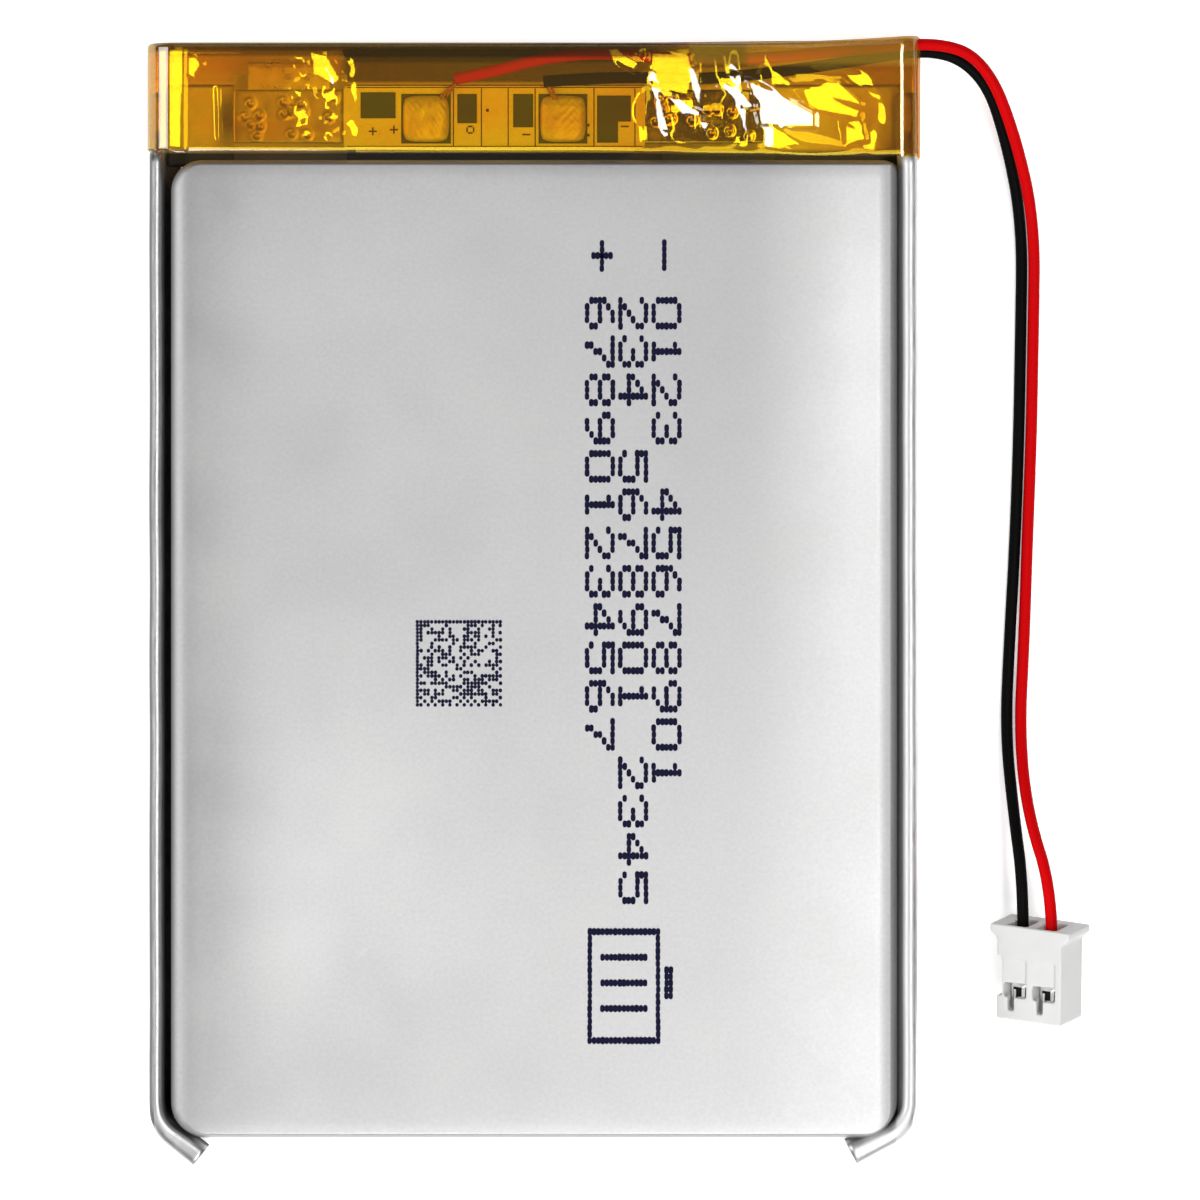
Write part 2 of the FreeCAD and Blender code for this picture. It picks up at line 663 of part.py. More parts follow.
def plug_housing():
    half_u, half_w, half_v = PLUG_WIDTH / 2, PLUG_DEPTH / 2, PLUG_LENGTH / 2
    lip_u = half_u + LIP_SIDE
    under_lip = half_v - LIP_HEIGHT
    outline = [(-half_u, -half_v), (half_u, -half_v), (half_u, under_lip - LIP_CHAMFER),
               (lip_u, under_lip), (lip_u, half_v), (-lip_u, half_v), (-lip_u, under_lip),
               (-half_u, under_lip - LIP_CHAMFER), (-half_u, NOTCH_V[1]),
               (-half_u + NOTCH_U, NOTCH_V[1]), (-half_u + NOTCH_U, NOTCH_V[0]),
               (-half_u, NOTCH_V[0])]
    housing = solid_prism([Vector(u, v, -half_w) for u, v in outline],
                          Vector(0, 0, PLUG_DEPTH))
    for middle in way_middles():
        across = (middle - WAY_U / 2, middle + WAY_U / 2)
        window = (middle - WINDOW_U / 2, middle + WINDOW_U / 2)
        key = middle + KEYWAY_OFFSET
        keyway = (key - KEYWAY_U / 2, key + KEYWAY_U / 2)
        opening_w = (WINDOW_FLOOR_W, half_w + PAST)
        housing = housing.cut(box(across, (-half_v - PAST, half_v + PAST), WAY_W))
        housing = housing.cut(box(window, WINDOW_V, opening_w))
        housing = housing.cut(box(keyway, (KEYWAY_V, WINDOW_V[0] + TINY), opening_w))
        ramp = [Vector(window[0], GUIDE_V[0], half_w), Vector(window[1], GUIDE_V[0], half_w),
                Vector(window[1], GUIDE_V[0], half_w - GUIDE_DEPTH)]
        housing = housing.cut(solid_prism(ramp, Vector(0, GUIDE_V[1] - GUIDE_V[0], 0)))
    return placed(housing)


def terminal(middle):
    """Crimped contact: a box that takes the pin, a floor strip, and two crimp barrels."""
    w = WAY_CENTRE_W
    floor = w - SOCKET_HALF
    inside = SOCKET_HALF - CONTACT
    socket = box((middle - SOCKET_HALF, middle + SOCKET_HALF), SOCKET_V, (floor, w + SOCKET_HALF))
    bore = box((middle - inside, middle + inside), (SOCKET_V[0] - PAST, SOCKET_V[1] + PAST),
               (w - inside, w + inside))
    parts = [box((middle - STRIP_HALF, middle + STRIP_HALF), STRIP_V, (floor, floor + CONTACT))]
    for v_range, core in ((CONDUCTOR_BARREL_V, CONDUCTOR), (INSULATION_BARREL_V, WIRE)):
        parts.append(crimp_barrel(middle, v_range, core / 2 + BORE_GAP, floor))
    return placed(socket.cut(bore).fuse(parts).removeSplitter())


def crimp_barrel(middle, v_range, bore, floor):
    """One barrel closed round a lead, standing on the terminal's floor strip."""
    start = Vector(middle, v_range[0], WAY_CENTRE_W)
    length = v_range[1] - v_range[0]
    along = Vector(0, 1, 0)
    foot = box((middle - BARREL_FOOT_HALF, middle + BARREL_FOOT_HALF), v_range,
               (floor, WAY_CENTRE_W))
    barrel = Part.makeCylinder(bore + CONTACT, length, start, along).fuse(foot)
    return barrel.cut(Part.makeCylinder(bore, length, start, along))


# ---------------------------------------------------------------- assembly

def build():
    nodes = {"pouch_film": pouch_film()}
    nodes.update(roll_nodes())
    for name, x, link_x in (("positive", POSITIVE_TAB_X, POSITIVE_LINK_X),
                            ("negative", NEGATIVE_TAB_X, NEGATIVE_LINK_X)):
        nodes[name + "_tab"] = tab(x)
        nodes[name + "_tab_sealant"] = tab_sealant(x)
        nodes[name + "_weld_tape"] = weld_tape(x)
        nodes[name + "_link"] = link(link_x)
    nodes["circuit_board"] = circuit_board()
    nodes["board_pads"] = board_pads()
    nodes["protection_chip"] = chip(*PROTECTION_CHIP)
    nodes["mosfet_chip"] = chip(*MOSFET_CHIP)
    nodes["chip_resistors"] = passives(RESISTOR_PLACES, RESISTOR)
    nodes["chip_capacitors"] = passives(CAPACITOR_PLACES, CAPACITOR)
    nodes["board_foam_pad"] = box(FOAM_X, FOAM_Y, FOAM_Z)
    rods = []
    joints = []
    for colour, route, centre in (("red", RED_ROUTE, POSITIVE_JOINT),
                                  ("black", BLACK_ROUTE, NEGATIVE_JOINT)):
        insulation, conductor, rod = lead(route)
        nodes[colour + "_wire_insulation"] = insulation
        nodes[colour + "_wire_conductor"] = conductor
        rods.append(rod)
        groove = clear_of(route, CONDUCTOR + 2 * BORE_GAP)
        joints.append(solder_joint(centre, groove.fuse(rod)))
    nodes["solder_joints"] = Part.makeCompound(joints)
    leads = rods[0].fuse(rods[1])
    nodes["inner_tape_wrap"] = tape_layer(TAPE + TAPE_GAP, INNER_TAPE_Y, INNER_TAPE_Y, leads)
    nodes["outer_tape_wrap"] = tape_layer(0, OUTER_TAPE_LEFT_Y, OUTER_TAPE_RIGHT_Y, leads)
    nodes["connector_housing"] = plug_housing()
    nodes["negative_terminal"] = terminal(-PITCH / 2)
    nodes["positive_terminal"] = terminal(PITCH / 2)
    return nodes


os.makedirs("parts", exist_ok=True)
for node, shape in build().items():
    shape.exportStep("parts/" + node + ".step")
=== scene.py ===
import math
import random

import bmesh
import bpy
import numpy as np
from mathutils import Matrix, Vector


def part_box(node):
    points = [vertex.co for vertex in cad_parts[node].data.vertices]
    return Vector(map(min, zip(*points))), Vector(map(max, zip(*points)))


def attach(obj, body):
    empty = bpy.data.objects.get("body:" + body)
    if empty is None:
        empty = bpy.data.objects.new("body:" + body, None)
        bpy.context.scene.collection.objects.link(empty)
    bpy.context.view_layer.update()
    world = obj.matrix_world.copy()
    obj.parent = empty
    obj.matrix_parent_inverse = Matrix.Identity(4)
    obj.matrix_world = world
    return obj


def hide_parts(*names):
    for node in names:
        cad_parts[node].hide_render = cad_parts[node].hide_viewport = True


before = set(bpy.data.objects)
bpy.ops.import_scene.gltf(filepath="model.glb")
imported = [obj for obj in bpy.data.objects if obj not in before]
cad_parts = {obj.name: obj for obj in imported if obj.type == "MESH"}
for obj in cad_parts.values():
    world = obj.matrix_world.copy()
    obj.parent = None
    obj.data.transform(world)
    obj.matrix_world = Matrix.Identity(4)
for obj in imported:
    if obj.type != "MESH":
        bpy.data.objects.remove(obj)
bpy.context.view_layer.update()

# Looks of a lithium-polymer pouch cell: satin laminate, amber taped head over a protection
# board, dot-matrix print, two soft leads and a white two-way plug.
# Lengths below are millimetres in the CAD frame; MM turns them into Blender's metres.
MM = 0.001


def node_box(name):
    """Lowest and highest corner of a CAD node, in millimetres."""
    low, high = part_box(name)
    return [c / MM for c in low], [c / MM for c in high]


BACK_Z, FACE_Z = (corner[2] for corner in node_box("pouch_film"))
TAPE_HIGH = node_box("outer_tape_wrap")[1]
BOARD_TOP = node_box("circuit_board")[1][2]
PAD_TOP = node_box("board_pads")[1][2]


def add_object(name, data):
    made = bpy.data.objects.new(name, data)
    bpy.context.scene.collection.objects.link(made)
    return made


# ---- camera

VIEW_SPAN = 73.66  # width of what the frame shows at the height of the face
VIEW_CENTRE = (4.08, 0.06)
CAMERA_DISTANCE = 600.0
CAMERA_CLIP = (10.0, 100000.0)
SENSOR = 36.0


def make_camera():
    data = bpy.data.cameras.new("camera")
    data.sensor_width = SENSOR
    data.lens = SENSOR * CAMERA_DISTANCE / VIEW_SPAN
    data.clip_start = CAMERA_CLIP[0] * MM
    data.clip_end = CAMERA_CLIP[1] * MM
    camera = add_object("camera", data)
    height = FACE_Z + CAMERA_DISTANCE
    camera.location = (VIEW_CENTRE[0] * MM, VIEW_CENTRE[1] * MM, height * MM)
    bpy.context.scene.camera = camera


make_camera()


# ---- node helpers

# Painted shade: in the slit between the tape and the cup, colours darken towards a near-black tone.
SLIT_Y = 27.7  # below this, between the tape and the cup, it is dark
SLIT_FADE = 0.35
SLIT_SHADE = (0.045, 0.045, 0.05)
UNEVEN = (0.85, 1.15)  # how far a finish's roughness strays
SUBSURFACE_RADIUS = (0.5, 0.45, 0.4)


class Nodes:
    """A material's node tree, with short calls to add and link nodes."""

    def __init__(self, name):
        self.material = bpy.data.materials.new(name)
        self.material.use_nodes = True
        self.tree = self.material.node_tree
        self.tree.nodes.clear()
        self.output = self.node("OutputMaterial")
        self.place = self.node("TexCoord").outputs["Object"]

    def node(self, kind, inputs=None, **settings):
        """Adds a node. An input is a value, or the output that is linked to it."""
        node = self.tree.nodes.new("ShaderNode" + kind)
        for key, value in settings.items():
            setattr(node, key, value)
        for key, value in (inputs or {}).items():
            self.feed(node.inputs[key], value)
        return node

    def feed(self, target, value):
        if isinstance(value, bpy.types.NodeSocket):
            self.tree.links.new(value, target)
        else:
            target.default_value = value

    def add(self, kind, inputs, **settings):
        """Adds a node and gives back its first output."""
        return self.node(kind, inputs, **settings).outputs[0]

    def stretched(self, scale):
        return self.add("Mapping", {"Vector": self.place, "Scale": scale})

    def noise(self, size, detail=3.0, where=None):
        """Soft noise whose blotches are about size millimetres across."""
        return self.add("TexNoise", {"Vector": where or self.place, "Scale": 1 / (size * MM),
                                     "Detail": detail})

    def ramp(self, value, low, high, start=0.0, end=1.0):
        return self.add("MapRange", {"Value": value, "From Min": low, "From Max": high,
                                     "To Min": start, "To Max": end})

    def axes(self):
        """The place on the object along X, Y and Z, in metres."""
        return list(self.node("SeparateXYZ", {"Vector": self.place}).outputs)

    def fade(self, axis, low, high, start=0.0, end=1.0):
        """Goes from start to end while the place goes from low to high millimetres."""
        return self.ramp(axis, low * MM, high * MM, start, end)

    def blend(self, factor, first, second):
        """Mixes two outputs or colours, where a colour is its red, green and blue."""
        node = self.node("Mix", data_type="RGBA")
        named = {i.name: i for i in node.inputs if i.enabled}
        self.feed(named["Factor"], factor)
        for socket, tone in ((named["A"], first), (named["B"], second)):
            self.feed(socket, tone if isinstance(tone, bpy.types.NodeSocket) else colour(*tone))
        return [o for o in node.outputs if o.enabled][0]

    def shaded_slit(self, tone):
        """Paints shade: darkens a colour inside the narrow slit between the cup and the tape."""
        return self.blend(self.fade(self.axes()[1], SLIT_Y + SLIT_FADE, SLIT_Y), tone, SLIT_SHADE)

    def math(self, kind, first, *others):
        """Joins all values by one operation, from left to right."""
        for other in others:
            first = self.add("Math", {0: first, 1: other}, operation=kind)
        return first

    def bump(self, height, depth, strength=1.0):
        """A bump depth millimetres deep for a height that goes from 0 to 1."""
        return self.add("Bump", {"Height": height, "Distance": depth * MM, "Strength": strength})

    def finish(self, shader):
        self.feed(self.output.inputs["Surface"], shader)
        return self.material

    def surface(self, inputs):
        return self.finish(self.add("BsdfPrincipled", inputs))


def colour(red, green, blue):
    return (red, green, blue, 1.0)


def scaled(tone, factor):
    return tuple(factor * part for part in tone)


def plain_finish(name, base, other, roughness, metallic=0.0, size=1.0, grain=0.08,
                 depth=0.004, specular=0.5, subsurface=0.0, slit=False):
    """Blotches between two colours, uneven roughness and a fine grain."""
    nodes = Nodes(name)
    blotch = nodes.noise(size)
    fine = nodes.noise(grain, detail=5.0)
    tone = nodes.blend(blotch, base, other)
    return nodes.surface({
        # with slit, painted shade darkens the colour in the slit between the cup and the tape
        "Base Color": nodes.shaded_slit(tone) if slit else tone,
        "Roughness": nodes.ramp(blotch, 0.3, 0.7, *(roughness * share for share in UNEVEN)),
        "Metallic": metallic,
        "Specular IOR Level": specular,
        "Subsurface Weight": subsurface,
        "Subsurface Radius": [part * MM for part in SUBSURFACE_RADIUS],
        "Subsurface Scale": 1.0,
        "Normal": nodes.bump(fine, depth),
    })


# ---- materials

DRAWN_X = (21.2, 21.7)  # the face begins to roll over here, at both sides
# Factors for the face's painted shade and painted light.
DARKER = 0.83
LIGHTER = 1.2


def laminate_material(name, base, other, slit=False):
    """Matt nylon over aluminium: satin metal, duller where it was drawn over the long edges.

    The face has painted shade high on the right and painted light low on the left."""
    nodes = Nodes(name)
    grain = nodes.noise(0.09, detail=6.0)
    cloud = nodes.noise(7.0, detail=2.0)
    mottle = nodes.blend(0.5, cloud, nodes.noise(0.22, detail=4.0))
    x, y, _ = nodes.axes()
    # painted shade high on the right and painted light low on the left of the face
    darker = nodes.math("MULTIPLY", nodes.fade(x, -9.0, 12.0), nodes.fade(x, 19.5, 14.0),
                        nodes.fade(y, -20.0, 15.0))
    lighter = nodes.math("MULTIPLY", nodes.fade(x, -19.5, -15.0), nodes.fade(x, 2.0, -13.0),
                         nodes.fade(y, -30.0, -20.0), nodes.fade(y, 0.0, -16.0))
    shades = []
    for shade in (base, other):
        plain = nodes.blend(darker, shade, scaled(shade, DARKER))
        shades.append(nodes.blend(lighter, plain, scaled(shade, LIGHTER)))
    tone = nodes.blend(nodes.ramp(mottle, 0.35, 0.65), *shades)
    off_middle = nodes.add("Math", {0: x}, operation="ABSOLUTE")
    drawn = nodes.fade(off_middle, *DRAWN_X, 0.0, 0.16)
    return nodes.surface({
        # with slit, painted shade darkens the colour in the slit between the cup and the tape
        "Base Color": nodes.shaded_slit(tone) if slit else tone,
        "Metallic": 0.92,
        "Roughness": nodes.math("ADD", nodes.ramp(cloud, 0.3, 0.7, 0.44, 0.50), drawn),
        "Normal": nodes.bump(grain, 0.006, 0.8),
    })


# Colours painted onto the folds: shade on the left fold's outside, a highlight on the right fold's
# outside, light on the right fold's inner side.
FOLD_SHADE = (0.07, 0.07, 0.071)
FOLD_HIGHLIGHT = (0.85, 0.85, 0.855)
GROOVE_LIGHT = (0.5, 0.5, 0.505)


def seal_material():
    """The same laminate where it was pressed and folded, with small creases.

    Painted shade darkens the outside of the left seal's fold, and a painted highlight brightens the
    outside of the right one's. Painted light lightens the right one's inner side, which is also less
    metallic there."""
    nodes = Nodes("pressed_laminate")
    grain = nodes.noise(0.12, detail=5.0)
    pressed = nodes.noise(0.5, where=nodes.stretched((1.0, 0.35, 1.0)))
    x, _, z = nodes.axes()
    on_fold = nodes.fade(z, 4.9, 5.15, 0.0, 0.82)
    fold_shade = nodes.math("MULTIPLY", on_fold, nodes.fade(x, -23.28, -23.36))
    fold_highlight = nodes.math("MULTIPLY", on_fold, nodes.fade(x, 23.26, 23.36))
    lit_groove = nodes.math("MULTIPLY", nodes.fade(x, 22.2, 22.35),
                      nodes.fade(x, 23.3, 22.95, 0.0, 0.75))
    tone = nodes.blend(pressed, (0.33, 0.33, 0.335), (0.40, 0.40, 0.405))
    for share, painted_tone in ((fold_shade, FOLD_SHADE), (fold_highlight, FOLD_HIGHLIGHT), (lit_groove, GROOVE_LIGHT)):
        tone = nodes.blend(share, tone, painted_tone)
    return nodes.surface({
        "Base Color": tone,
        "Metallic": nodes.math("SUBTRACT", 1.0, lit_groove),
        "Roughness": nodes.ramp(pressed, 0.3, 0.7, 0.38, 0.50),
        "Normal": nodes.bump(nodes.blend(0.5, grain, pressed), 0.02, 0.6),
    })


DOUBLED_X = -11.6  # the inner tape is doubled left of this
RIGHT_END = (6.0, 10.0, 1.0, 0.3)  # the painted shade behind the leads and along the far edge grows fainter between these X, from 1 to 0.3
HAZE = 0.02  # share of the clear film that is cloudy


def inner_marks(nodes, x, y, z):
    """The inner layer's deeper parts, the share of its dark tint and its haze.

    It is deeper in the further turns at the left and at the right. Its back layer has painted shade
    behind the leads at the far end, and it has a crushed fold beside them."""
    deeper = [nodes.fade(x, DOUBLED_X, DOUBLED_X - 0.4, 0.0, 0.4),
              nodes.fade(x, 18.4, 20.4, 0.0, 0.6)]
    # painted shade: the back layer behind the leads at the far end is tinted dark
    behind = nodes.math("MULTIPLY", nodes.fade(z, 2.5, 2.0), nodes.fade(y, 32.05, 32.25),
                        nodes.fade(x, DOUBLED_X - 0.6, DOUBLED_X, 0.25, 1.0),
                        nodes.fade(x, *RIGHT_END))
    further_turn = nodes.fade(x, 18.0, 20.0, 0.0, 0.28)
    crushed = nodes.math("MULTIPLY", nodes.fade(x, 9.5, 9.9), nodes.fade(x, 13.3, 12.9),
                         nodes.fade(y, 32.7, 33.0, 0.0, 0.75))
    return deeper, nodes.math("MAXIMUM", behind, further_turn, crushed), HAZE


def outer_marks(nodes, x, y, z):
    """The same of the outer layer: painted shade along the far edge, the same crushed fold and a
    dark left outline. It is cloudier over the leads, at its left edge and on the head's walls."""
    # painted shade along the far edge, reaching further in over the board
    over_board = nodes.fade(x, DOUBLED_X - 0.2, DOUBLED_X, 0.0, 0.42 * MM)
    edge = nodes.math("MULTIPLY", nodes.fade(nodes.math("ADD", y, over_board), 33.72, 33.92),
                      nodes.fade(x, *RIGHT_END))
    outline = nodes.fade(x, -23.52, -23.7, 0.0, 0.6)
    far = nodes.fade(y, 32.75, 33.1)
    crushed = nodes.math("MULTIPLY", nodes.fade(x, 9.5, 9.9, 0.0, 0.6),
                         nodes.fade(x, 13.3, 12.9), far)
    over_leads = nodes.math("MULTIPLY", far, nodes.fade(x, 9.4, 9.9, 0.0, 0.2))
    walls = nodes.math("MULTIPLY", nodes.fade(z, 5.2, 4.8, 0.0, 0.27), nodes.fade(z, 0.3, 0.6))
    haze = nodes.math("MAXIMUM", nodes.math("ADD", over_leads, HAZE),
                      nodes.fade(x, -23.2, -23.35, 0.0, 0.4), walls)
    return [], nodes.math("MAXIMUM", edge, outline, crushed), haze


RIM_X = (-20.0, -14.0)  # between these X a slanting look's colour goes from left to right
RIM_LEFT = (0.90, 0.64, 0.03)
RIM_RIGHT = (0.74, 0.40, 0.02)
CLOUDY = (0.60, 0.34, 0.02)
SLANTING_MIRROR = 0.55
SECOND_TURN = (0.97, 0.76, 0.7)  # how much of each colour the deeper parts still let through


def film_material(name, tint, mirror, fold_and_shade_tint, marks):
    """Amber polyimide film: a thin sheet that tints what lies under it and mirrors the lights.

    mirror is the share of light that it mirrors face on, the same from both sides. A slanting look
    makes the tint deeper. marks is the function that says where this layer differs. The last colour
    is the darker tint of crushed and turned film, also used for painted shade."""
    nodes = Nodes(name)
    ripple = nodes.bump(nodes.noise(0.5, detail=3.0), 0.004, 0.5)
    slant = nodes.node("LayerWeight", {"Blend": 0.5, "Normal": ripple}).outputs["Facing"]
    streak = nodes.noise(2.2, detail=2.0, where=nodes.stretched((0.3, 1.0, 1.0)))
    x, y, z = nodes.axes()
    deeper, hem, haze = marks(nodes, x, y, z)
    slanting = nodes.math("MULTIPLY", slant, 0.9)
    depth = nodes.math("ADD", slanting, nodes.ramp(streak, 0.40, 0.80, 0.0, 0.5), *deeper)
    second = [part * share for part, share in zip(tint, SECOND_TURN)]
    rim = nodes.blend(nodes.fade(x, *RIM_X), RIM_LEFT, RIM_RIGHT)
    single = nodes.blend(nodes.ramp(slant, 0.28, 0.8), nodes.blend(depth, tint, second), rim)
    clear = nodes.add("BsdfTransparent", {"Color": nodes.blend(hem, single, fold_and_shade_tint)})
    cloudy = nodes.add("BsdfDiffuse", {"Color": colour(*CLOUDY)})
    gloss = nodes.add("BsdfGlossy", {"Color": colour(1.0, 1.0, 1.0), "Roughness": 0.06,
                                     "Normal": ripple})
    film = nodes.add("MixShader", {0: haze, 1: clear, 2: cloudy})
    share = nodes.ramp(nodes.math("POWER", slant, 5.0), 0.0, 1.0, mirror, SLANTING_MIRROR)
    return nodes.finish(nodes.add("MixShader", {0: share, 1: film, 2: gloss}))


def insulation_material(name, base, other):
    """Soft extruded insulation with a dull gloss."""
    return plain_finish(name, base, other, 0.55, size=1.6, grain=0.14, depth=0.004,
                        specular=0.025)


def plug_material():
    """Milky nylon that lets a little light in."""
    return plain_finish("plug_nylon", (0.45, 0.449, 0.444), (0.485, 0.483, 0.478), 0.45,
                        size=1.2, grain=0.12, depth=0.004, specular=0.3, subsurface=0.2)


def board_material():
    """Pale solder mask over woven glass: the weave shows as a faint grid."""
    nodes = Nodes("board_mask")
    weave = nodes.node("TexWave", {"Vector": nodes.place, "Scale": 1 / (0.9 * MM),
                                   "Distortion": 1.5}, bands_direction="DIAGONAL")
    speck = nodes.noise(0.12, detail=4.0)
    return nodes.surface({
        "Base Color": nodes.blend(speck, (0.56, 0.55, 0.44), (0.82, 0.81, 0.68)),
        "Roughness": nodes.ramp(speck, 0.3, 0.7, 0.35, 0.5),
        "Normal": nodes.bump(nodes.blend(0.5, weave.outputs["Fac"], speck), 0.01),
    })


LAMINATE = laminate_material("laminate", (0.325, 0.323, 0.325), (0.365, 0.362, 0.36))
# A lighter copy of the laminate for the top seal: painted light on a seal that lies in shade under
# the tape, with painted shade in the slit.
LIT_LAMINATE = laminate_material("lit_laminate", (0.62, 0.61, 0.60), (0.72, 0.71, 0.70),
                                  slit=True)
SEAL = seal_material()
# The last colour of each film is its darker tint, for crushed and turned film and for painted shade.
OUTER_FILM = film_material("outer_film", (0.99, 0.85, 0.12), 0.07, (0.34, 0.30, 0.05),
                           outer_marks)
INNER_FILM = film_material("inner_film", (0.98, 0.83, 0.16), 0.11, (0.26, 0.19, 0.03),
                           inner_marks)
SILK_INK = plain_finish("board_ink", (0.02, 0.02, 0.015), (0.04, 0.04, 0.03), 0.5, size=0.2)
INK = plain_finish("ink", (0.004, 0.004, 0.016), (0.008, 0.008, 0.026), 0.7, size=0.4,
                   specular=0.03)
RED = insulation_material("red_insulation", (0.40, 0.0005, 0.0015), (0.46, 0.001, 0.002))
BLACK = insulation_material("black_insulation", (0.0015, 0.0014, 0.0014), (0.003, 0.003, 0.0028))
PLUG = plug_material()
BOARD = board_material()
NICKEL = plain_finish("nickel", (0.40, 0.37, 0.31), (0.50, 0.47, 0.40), 0.36, metallic=0.7,
                      size=0.9, grain=0.1, depth=0.01)
BRIGHT_NICKEL = plain_finish("bright_nickel", (0.40, 0.38, 0.33), (0.50, 0.47, 0.42), 0.14,
                             metallic=1.0, size=0.9, grain=0.3, depth=0.01)
ALUMINIUM = plain_finish("aluminium_foil", (0.78, 0.78, 0.80), (0.88, 0.88, 0.90), 0.3,
                         metallic=1.0, size=0.8)
SOLDER = plain_finish("solder", (0.50, 0.47, 0.38), (0.74, 0.71, 0.60), 0.45, metallic=0.3,
                      size=0.35, grain=0.12, depth=0.02)
TIN = plain_finish("tin", (0.52, 0.52, 0.52), (0.70, 0.70, 0.70), 0.34, metallic=1.0, size=0.3)
# Near-black painted shade for the contacts' shadowed mouths.
BORE_SHADE = plain_finish("shadowed_tin", (0.006, 0.006, 0.006), (0.012, 0.012, 0.012), 0.8, size=0.3,
                    specular=0.02)
COPPER = plain_finish("tinned_copper", (0.30, 0.15, 0.08), (0.40, 0.22, 0.12), 0.4,
                      metallic=0.9, size=0.2)
# The pads' near-black greenish tone is painted: it stands in for bare metal that mirrors dark
# surroundings.
PAD = plain_finish("pad_metal", (0.025, 0.045, 0.025), (0.05, 0.08, 0.045), 0.5, metallic=0.3,
                   size=0.3)
CHIP = plain_finish("chip_epoxy", (0.02, 0.02, 0.02), (0.035, 0.034, 0.032), 0.6, grain=0.06)
CERAMIC = plain_finish("fired_ceramic", (0.34, 0.24, 0.15), (0.42, 0.31, 0.20), 0.5, size=0.3)
FOAM = plain_finish("foam", (0.84, 0.84, 0.80), (0.92, 0.92, 0.89), 0.9, size=0.6, grain=0.2,
                    depth=0.05)
SEALANT = plain_finish("tab_sealant", (0.84, 0.81, 0.72), (0.92, 0.90, 0.84), 0.5, slit=True)
CATHODE = plain_finish("cathode_coating", (0.03, 0.03, 0.033), (0.05, 0.05, 0.055), 0.8)
GRAPHITE = plain_finish("graphite_coating", (0.07, 0.07, 0.075), (0.10, 0.10, 0.11), 0.7)
SEPARATOR = plain_finish("separator", (0.84, 0.84, 0.84), (0.92, 0.92, 0.92), 0.6)
GREEN_TAPE = plain_finish("green_tape", (0.05, 0.30, 0.14), (0.08, 0.38, 0.18), 0.4)

NODE_FINISHES = {
    "cathode_strip": CATHODE, "anode_strip": GRAPHITE, "separator_inner": SEPARATOR,
    "separator_outer": SEPARATOR, "winding_end_tape": GREEN_TAPE,
    "positive_weld_tape": GREEN_TAPE, "negative_weld_tape": GREEN_TAPE,
    "positive_tab": ALUMINIUM, "negative_tab": NICKEL, "positive_tab_sealant": SEALANT,
    "negative_tab_sealant": SEALANT, "positive_link": NICKEL, "negative_link": NICKEL,
    "circuit_board": BOARD, "board_pads": PAD, "protection_chip": CHIP, "mosfet_chip": CHIP,
    "chip_resistors": CERAMIC, "chip_capacitors": CERAMIC, "board_foam_pad": FOAM,
    "solder_joints": SOLDER, "positive_terminal": TIN, "negative_terminal": TIN,
}


def paint_nodes():
    for name, material in NODE_FINISHES.items():
        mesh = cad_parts[name].data
        mesh.materials.clear()
        mesh.materials.append(material)


paint_nodes()


# ---- mesh helpers

def new_piece(name, points, faces, material, slot=None, replaces=(), smooth=True):
    """A mesh piece from points in millimetres, with its faces turned outwards."""
    mesh = bpy.data.meshes.new(name)
    mesh.from_pydata([tuple(c * MM for c in p) for p in points], [], faces)
    work = bmesh.new()
    work.from_mesh(mesh)
    bmesh.ops.recalc_face_normals(work, faces=work.faces)
    work.to_mesh(mesh)
    work.free()
    mesh.polygons.foreach_set("use_smooth", [smooth] * len(mesh.polygons))
    mesh.materials.append(material)
    return settle(add_object(name, mesh), replaces)


def settle(piece, replaces=()):
    """Every piece rides on the one body of the cell."""
    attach(piece, "root")
    if replaces:
        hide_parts(*replaces)
    return piece


def rounded_loop(low, high, radii, sides, steps):
    """Closed loop round a rectangle with rounded corners, as an array of (u, v).

    radii and the arcs go: low left, low right, high right, high left. sides holds the number
    of points inside each straight side: low, right, high, left."""
    corners = ((low[0], low[1], 1, 1), (high[0], low[1], -1, 1), (high[0], high[1], -1, -1),
               (low[0], high[1], 1, -1))
    points = []
    for index, (u, v, inward_u, inward_v) in enumerate(corners):
        radius = max(radii[index], 1e-4)
        centre = (u + inward_u * radius, v + inward_v * radius)
        first = math.pi + index * math.pi / 2
        arc = [(centre[0] + radius * math.cos(first + math.pi / 2 * s / steps),
                centre[1] + radius * math.sin(first + math.pi / 2 * s / steps))
               for s in range(steps + 1)]
        if points:
            points += between(points[-1], arc[0], sides[index - 1])
        points += arc
    points += between(points[-1], points[0], sides[3])
    return np.array(points)


def between(start, end, count):
    shares = [(k + 1) / (count + 1) for k in range(count)]
    return [(start[0] + (end[0] - start[0]) * s, start[1] + (end[1] - start[1]) * s)
            for s in shares]


def band_faces(rows, count, closed=True):
    """Four-sided faces between rows of count points, where closed rows go round."""
    return [(r * count + k, r * count + (k + 1) % count, (r + 1) * count + (k + 1) % count,
             (r + 1) * count + k)
            for r in range(rows - 1) for k in range(count if closed else count - 1)]


def ring_piece(name, rings, material, caps=(True, True), **options):
    """A skin over rings that all have the same number of points."""
    count = len(rings[0])
    points = [tuple(p) for ring in rings for p in ring]
    faces = band_faces(len(rings), count)
    for capped, first in zip(caps, (0, len(points) - count)):
        if capped:
            faces.append(tuple(range(first, first + count)))
    return new_piece(name, points, faces, material, **options)


def merged(blocks):
    """Points and faces of several blocks as one list of each."""
    points = []
    faces = []
    for block_points, block_faces in blocks:
        faces += [tuple(k + len(points) for k in face) for face in block_faces]
        points += block_points
    return points, faces


